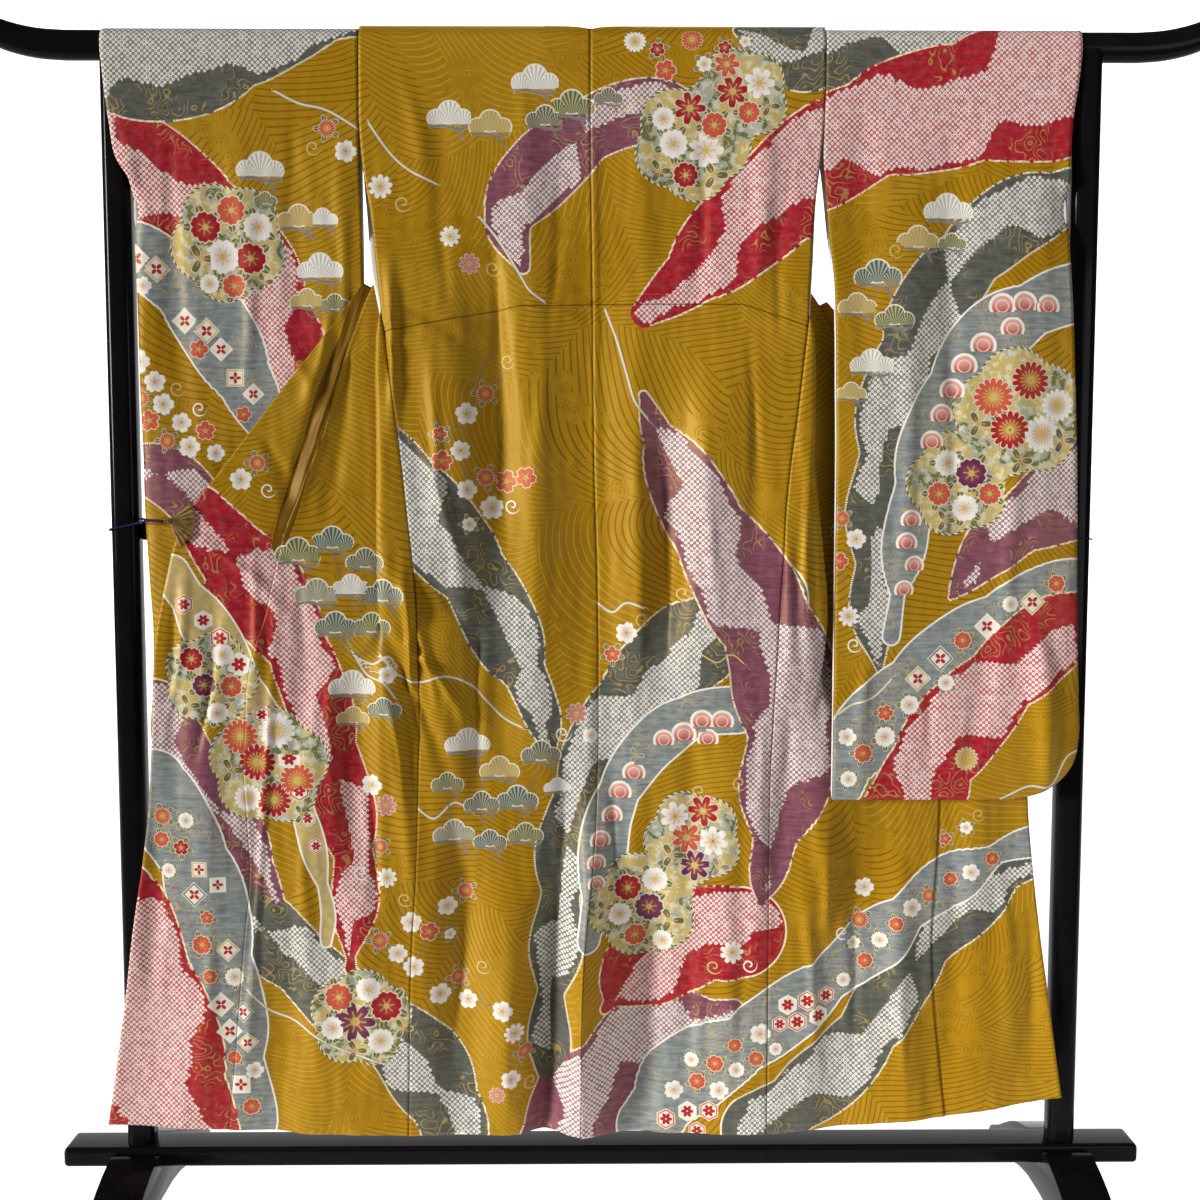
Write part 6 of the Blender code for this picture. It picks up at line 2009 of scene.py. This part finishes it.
def select_edges(piece, wanted):
    """In edit mode, select the edges for which wanted(first end, second end) holds."""
    bpy.ops.mesh.select_all(action="DESELECT")
    bpy.ops.mesh.select_mode(type="EDGE")
    shape = bmesh.from_edit_mesh(piece.data)
    for edge in shape.edges:
        edge.select_set(bool(wanted(edge.verts[0].co, edge.verts[1].co)))
    bmesh.update_edit_mesh(piece.data)


def finish_stand(piece, name, angle=35.0):
    """Normals outwards, smooth shading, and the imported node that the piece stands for."""
    bpy.ops.mesh.select_all(action="SELECT")
    bpy.ops.mesh.normals_make_consistent(inside=False)
    bpy.ops.object.mode_set(mode="OBJECT")
    bpy.ops.object.shade_smooth_by_angle(angle=math.radians(angle))
    piece.name = piece.data.name = name + "_rounded"
    piece.data.materials.append(lacquer)
    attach(piece, "root")
    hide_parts(name)
    print(piece.name, "faces:", len(piece.data.polygons))


print("helpers ready")

# %% Posts, beam and rail
def rounded_box(name, low, high, edge, wanted=lambda a, b: True):
    nothing_selected()
    bpy.ops.mesh.primitive_cube_add(size=1.0)
    piece = bpy.context.object
    bpy.ops.object.mode_set(mode="EDIT")
    bpy.ops.transform.resize(value=[b - a for a, b in zip(low, high)])
    bpy.ops.transform.translate(value=[(a + b) / 2 for a, b in zip(low, high)])
    select_edges(piece, wanted)
    bpy.ops.mesh.bevel(offset=edge, segments=6, profile=0.5, affect="EDGES")
    finish_stand(piece, name)


def upright(a, b):
    return abs(a.z - b.z) > 1.0


BEAM_EDGE, RAIL_EDGE, POST_EDGE = 0.007, 0.006, 0.0135
rounded_box("base_beam", *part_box("base_beam"), BEAM_EDGE)
rounded_box("middle_rail", *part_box("middle_rail"), RAIL_EDGE)
for side in ("left", "right"):
    rounded_box("post_" + side, *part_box("post_" + side), POST_EDGE, upright)

# %% Feet: half of the outline, from the beam outwards along the top and back underneath
FOOT_TOP = table("y z", """
3.16 10.8
4.4 11.1
8 10.3
12 8.9
16 6.9
20 4.7
24 2.9
25.5 1.6
""")
FOOT_UNDER = table("y z", """
18 0
14 1.7
8 3.4
3 4.1
""")


FOOT_START, FOOT_TIP, FOOT_EDGE = (0.0316, 0.0887), (0.255, 0.0), 0.006


def smoothed(rows, parts=4):
    """A smooth curve through the rows of a table, in metres."""
    return [tuple(p) for p in smooth_route(np.stack([rows["y"], rows["z"]], axis=1) * CM, parts)]


def round_foot(name):
    low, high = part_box(name)
    half = [FOOT_START, *smoothed(FOOT_TOP), FOOT_TIP, *smoothed(FOOT_UNDER)]
    outline = [(-y, z) for y, z in half] + [(y, z) for y, z in reversed(half)]
    nothing_selected()
    bpy.ops.mesh.primitive_circle_add(vertices=len(outline), fill_type="NGON")
    piece = bpy.context.object
    for vertex, (y, z) in zip(piece.data.vertices, outline):
        vertex.co = (low[0], y, z)
    bpy.ops.object.mode_set(mode="EDIT")
    bpy.ops.mesh.select_all(action="SELECT")
    bpy.ops.mesh.extrude_region_move(TRANSFORM_OT_translate={"value": (high[0] - low[0], 0.0, 0.0)})
    select_edges(piece, lambda a, b: abs(a.x - b.x) < 1e-5 and min(a.z, b.z) > 0.001)
    bpy.ops.mesh.bevel(offset=FOOT_EDGE, segments=5, profile=0.5, affect="EDGES", clamp_overlap=True)
    finish_stand(piece, name, 30.0)


for side in ("left", "right"):
    round_foot("foot_" + side)

# %% The bar: a round rod, drawn out station by station, with ends that sweep up
BAR_END = table("y z", """
76 0
80 0.3
84 1.2
87 2.5
90 4.3
92.5 6.3
""")
BAR_SIDES, BAR_EDGE = 36, 0.005


def round_bar():
    end = smoothed(BAR_END, 3)
    stations = [(-x, rise) for x, rise in reversed(end)] + end
    nothing_selected()
    bpy.ops.mesh.primitive_circle_add(vertices=BAR_SIDES, radius=1.0, fill_type="NGON")
    piece = bpy.context.object
    bpy.ops.object.mode_set(mode="EDIT")
    bpy.ops.mesh.select_all(action="SELECT")
    bpy.ops.transform.rotate(value=math.pi / 2, orient_axis="Y", center_override=(0.0, 0.0, 0.0))
    bpy.ops.transform.resize(value=(1.0, BAR_HALF_DEEP * CM, BAR_HALF_HIGH * CM))
    bpy.ops.transform.translate(value=(stations[0][0], 0.0, BAR_HEIGHT * CM + stations[0][1]))
    for (x, rise), (next_x, next_rise) in zip(stations, stations[1:]):
        bpy.ops.mesh.extrude_region_move(TRANSFORM_OT_translate={"value": (next_x - x, 0.0, next_rise - rise)})
    tip = stations[-1][0] - 1e-4
    select_edges(piece, lambda a, b: min(abs(a.x), abs(b.x)) > tip)
    bpy.ops.mesh.bevel(offset=BAR_EDGE, segments=4, profile=0.5, affect="EDGES")
    finish_stand(piece, "top_bar", 50.0)


round_bar()

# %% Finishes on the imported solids
FINISH_OF = {"clip_left": brass, "clip_right": brass, "cord_left": cord_finish, "cord_right": cord_finish}
for name, finish in FINISH_OF.items():
    node = bpy.data.objects[name]
    for slot in node.material_slots:
        slot.material = finish
    if not node.material_slots:
        node.data.materials.append(finish)
print("solids dressed:", len(FINISH_OF))

# %% [markdown]
# ## The studio
#
# The photograph has a plain white ground. A white sheet sweeps from the floor up far behind the stand,
# so that views from behind still see the stand. The main light comes from the left in even rays, like
# a large far window, so that the folds keep their shading and both sides are equally bright. A soft
# light on the right and one above only fill the shade.

# %% Floor and backdrop
FLOOR_FRONT, FLOOR_BACK, BEND, WALL_TOP, HALF_WIDE = -0.7, 5.4, 0.6, 5.0, 4.6


def white_sweep():
    profile = [(FLOOR_FRONT, 0.0), (FLOOR_BACK, 0.0)]
    turns = [math.radians(angle) for angle in range(10, 91, 10)]
    profile += [(FLOOR_BACK + BEND * math.sin(a), BEND - BEND * math.cos(a)) for a in turns]
    profile += [(FLOOR_BACK + BEND, WALL_TOP)]
    points = [(x, y, z) for x in (-HALF_WIDE, HALF_WIDE) for y, z in profile]
    count = len(profile)
    faces = [(k, k + count, k + count + 1, k + 1) for k in range(count - 1)]
    mesh = bpy.data.meshes.new("white_sweep")
    mesh.from_pydata(points, [], faces)
    mesh.shade_smooth()
    return add_object("white_sweep", mesh)


paper, paper_shader, flow = new_finish("white studio paper")
WHITE, PAPER = (1.0, 1.0, 1.0, 1.0), (0.80, 0.80, 0.80, 1.0)
feed(paper_shader, Base_Color=PAPER, Roughness=0.9, Emission_Color=WHITE, Emission_Strength=0.90)
sweep = white_sweep()
sweep.data.materials.append(paper)
print("floor and backdrop ready")

# %% Lights
def put_light(data, place, aim, power):
    data.energy = power
    made = add_object(data.name, data)
    made.location = place
    made.rotation_euler = (Vector(aim) - Vector(place)).to_track_quat("-Z", "Y").to_euler()


key = bpy.data.lights.new("key", "SUN")
key.angle = math.radians(14.0)
put_light(key, (-2.8, -1.4, 1.25), (0.0, 0.0, 0.9), 4.05)
for name, place, aim, size, power in (("fill", (2.0, -2.2, 1.15), (0.2, 0.0, 1.0), (1.2, 1.2), 15.0),
                                      ("top", (0.3, -1.2, 3.0), (0.0, 0.0, 1.0), (1.6, 0.6), 5.0)):
    soft = bpy.data.lights.new(name, "AREA")
    soft.shape = "RECTANGLE"
    soft.size, soft.size_y = size
    put_light(soft, place, aim, power)
world = bpy.data.worlds.new("studio")
world.use_nodes = True
feed(world.node_tree.nodes["Background"], Color=WHITE, Strength=0.07)
bpy.context.scene.world = world
bpy.context.scene.view_settings.view_transform = "Standard"
print("lights:", len(bpy.data.lights))

# %% [markdown]
# ## The end
#
# The sheets replaced the soft solids, so the model's whole size must still be that of the solids.

# %% The end
print("the sheets stand in place of the soft solids")
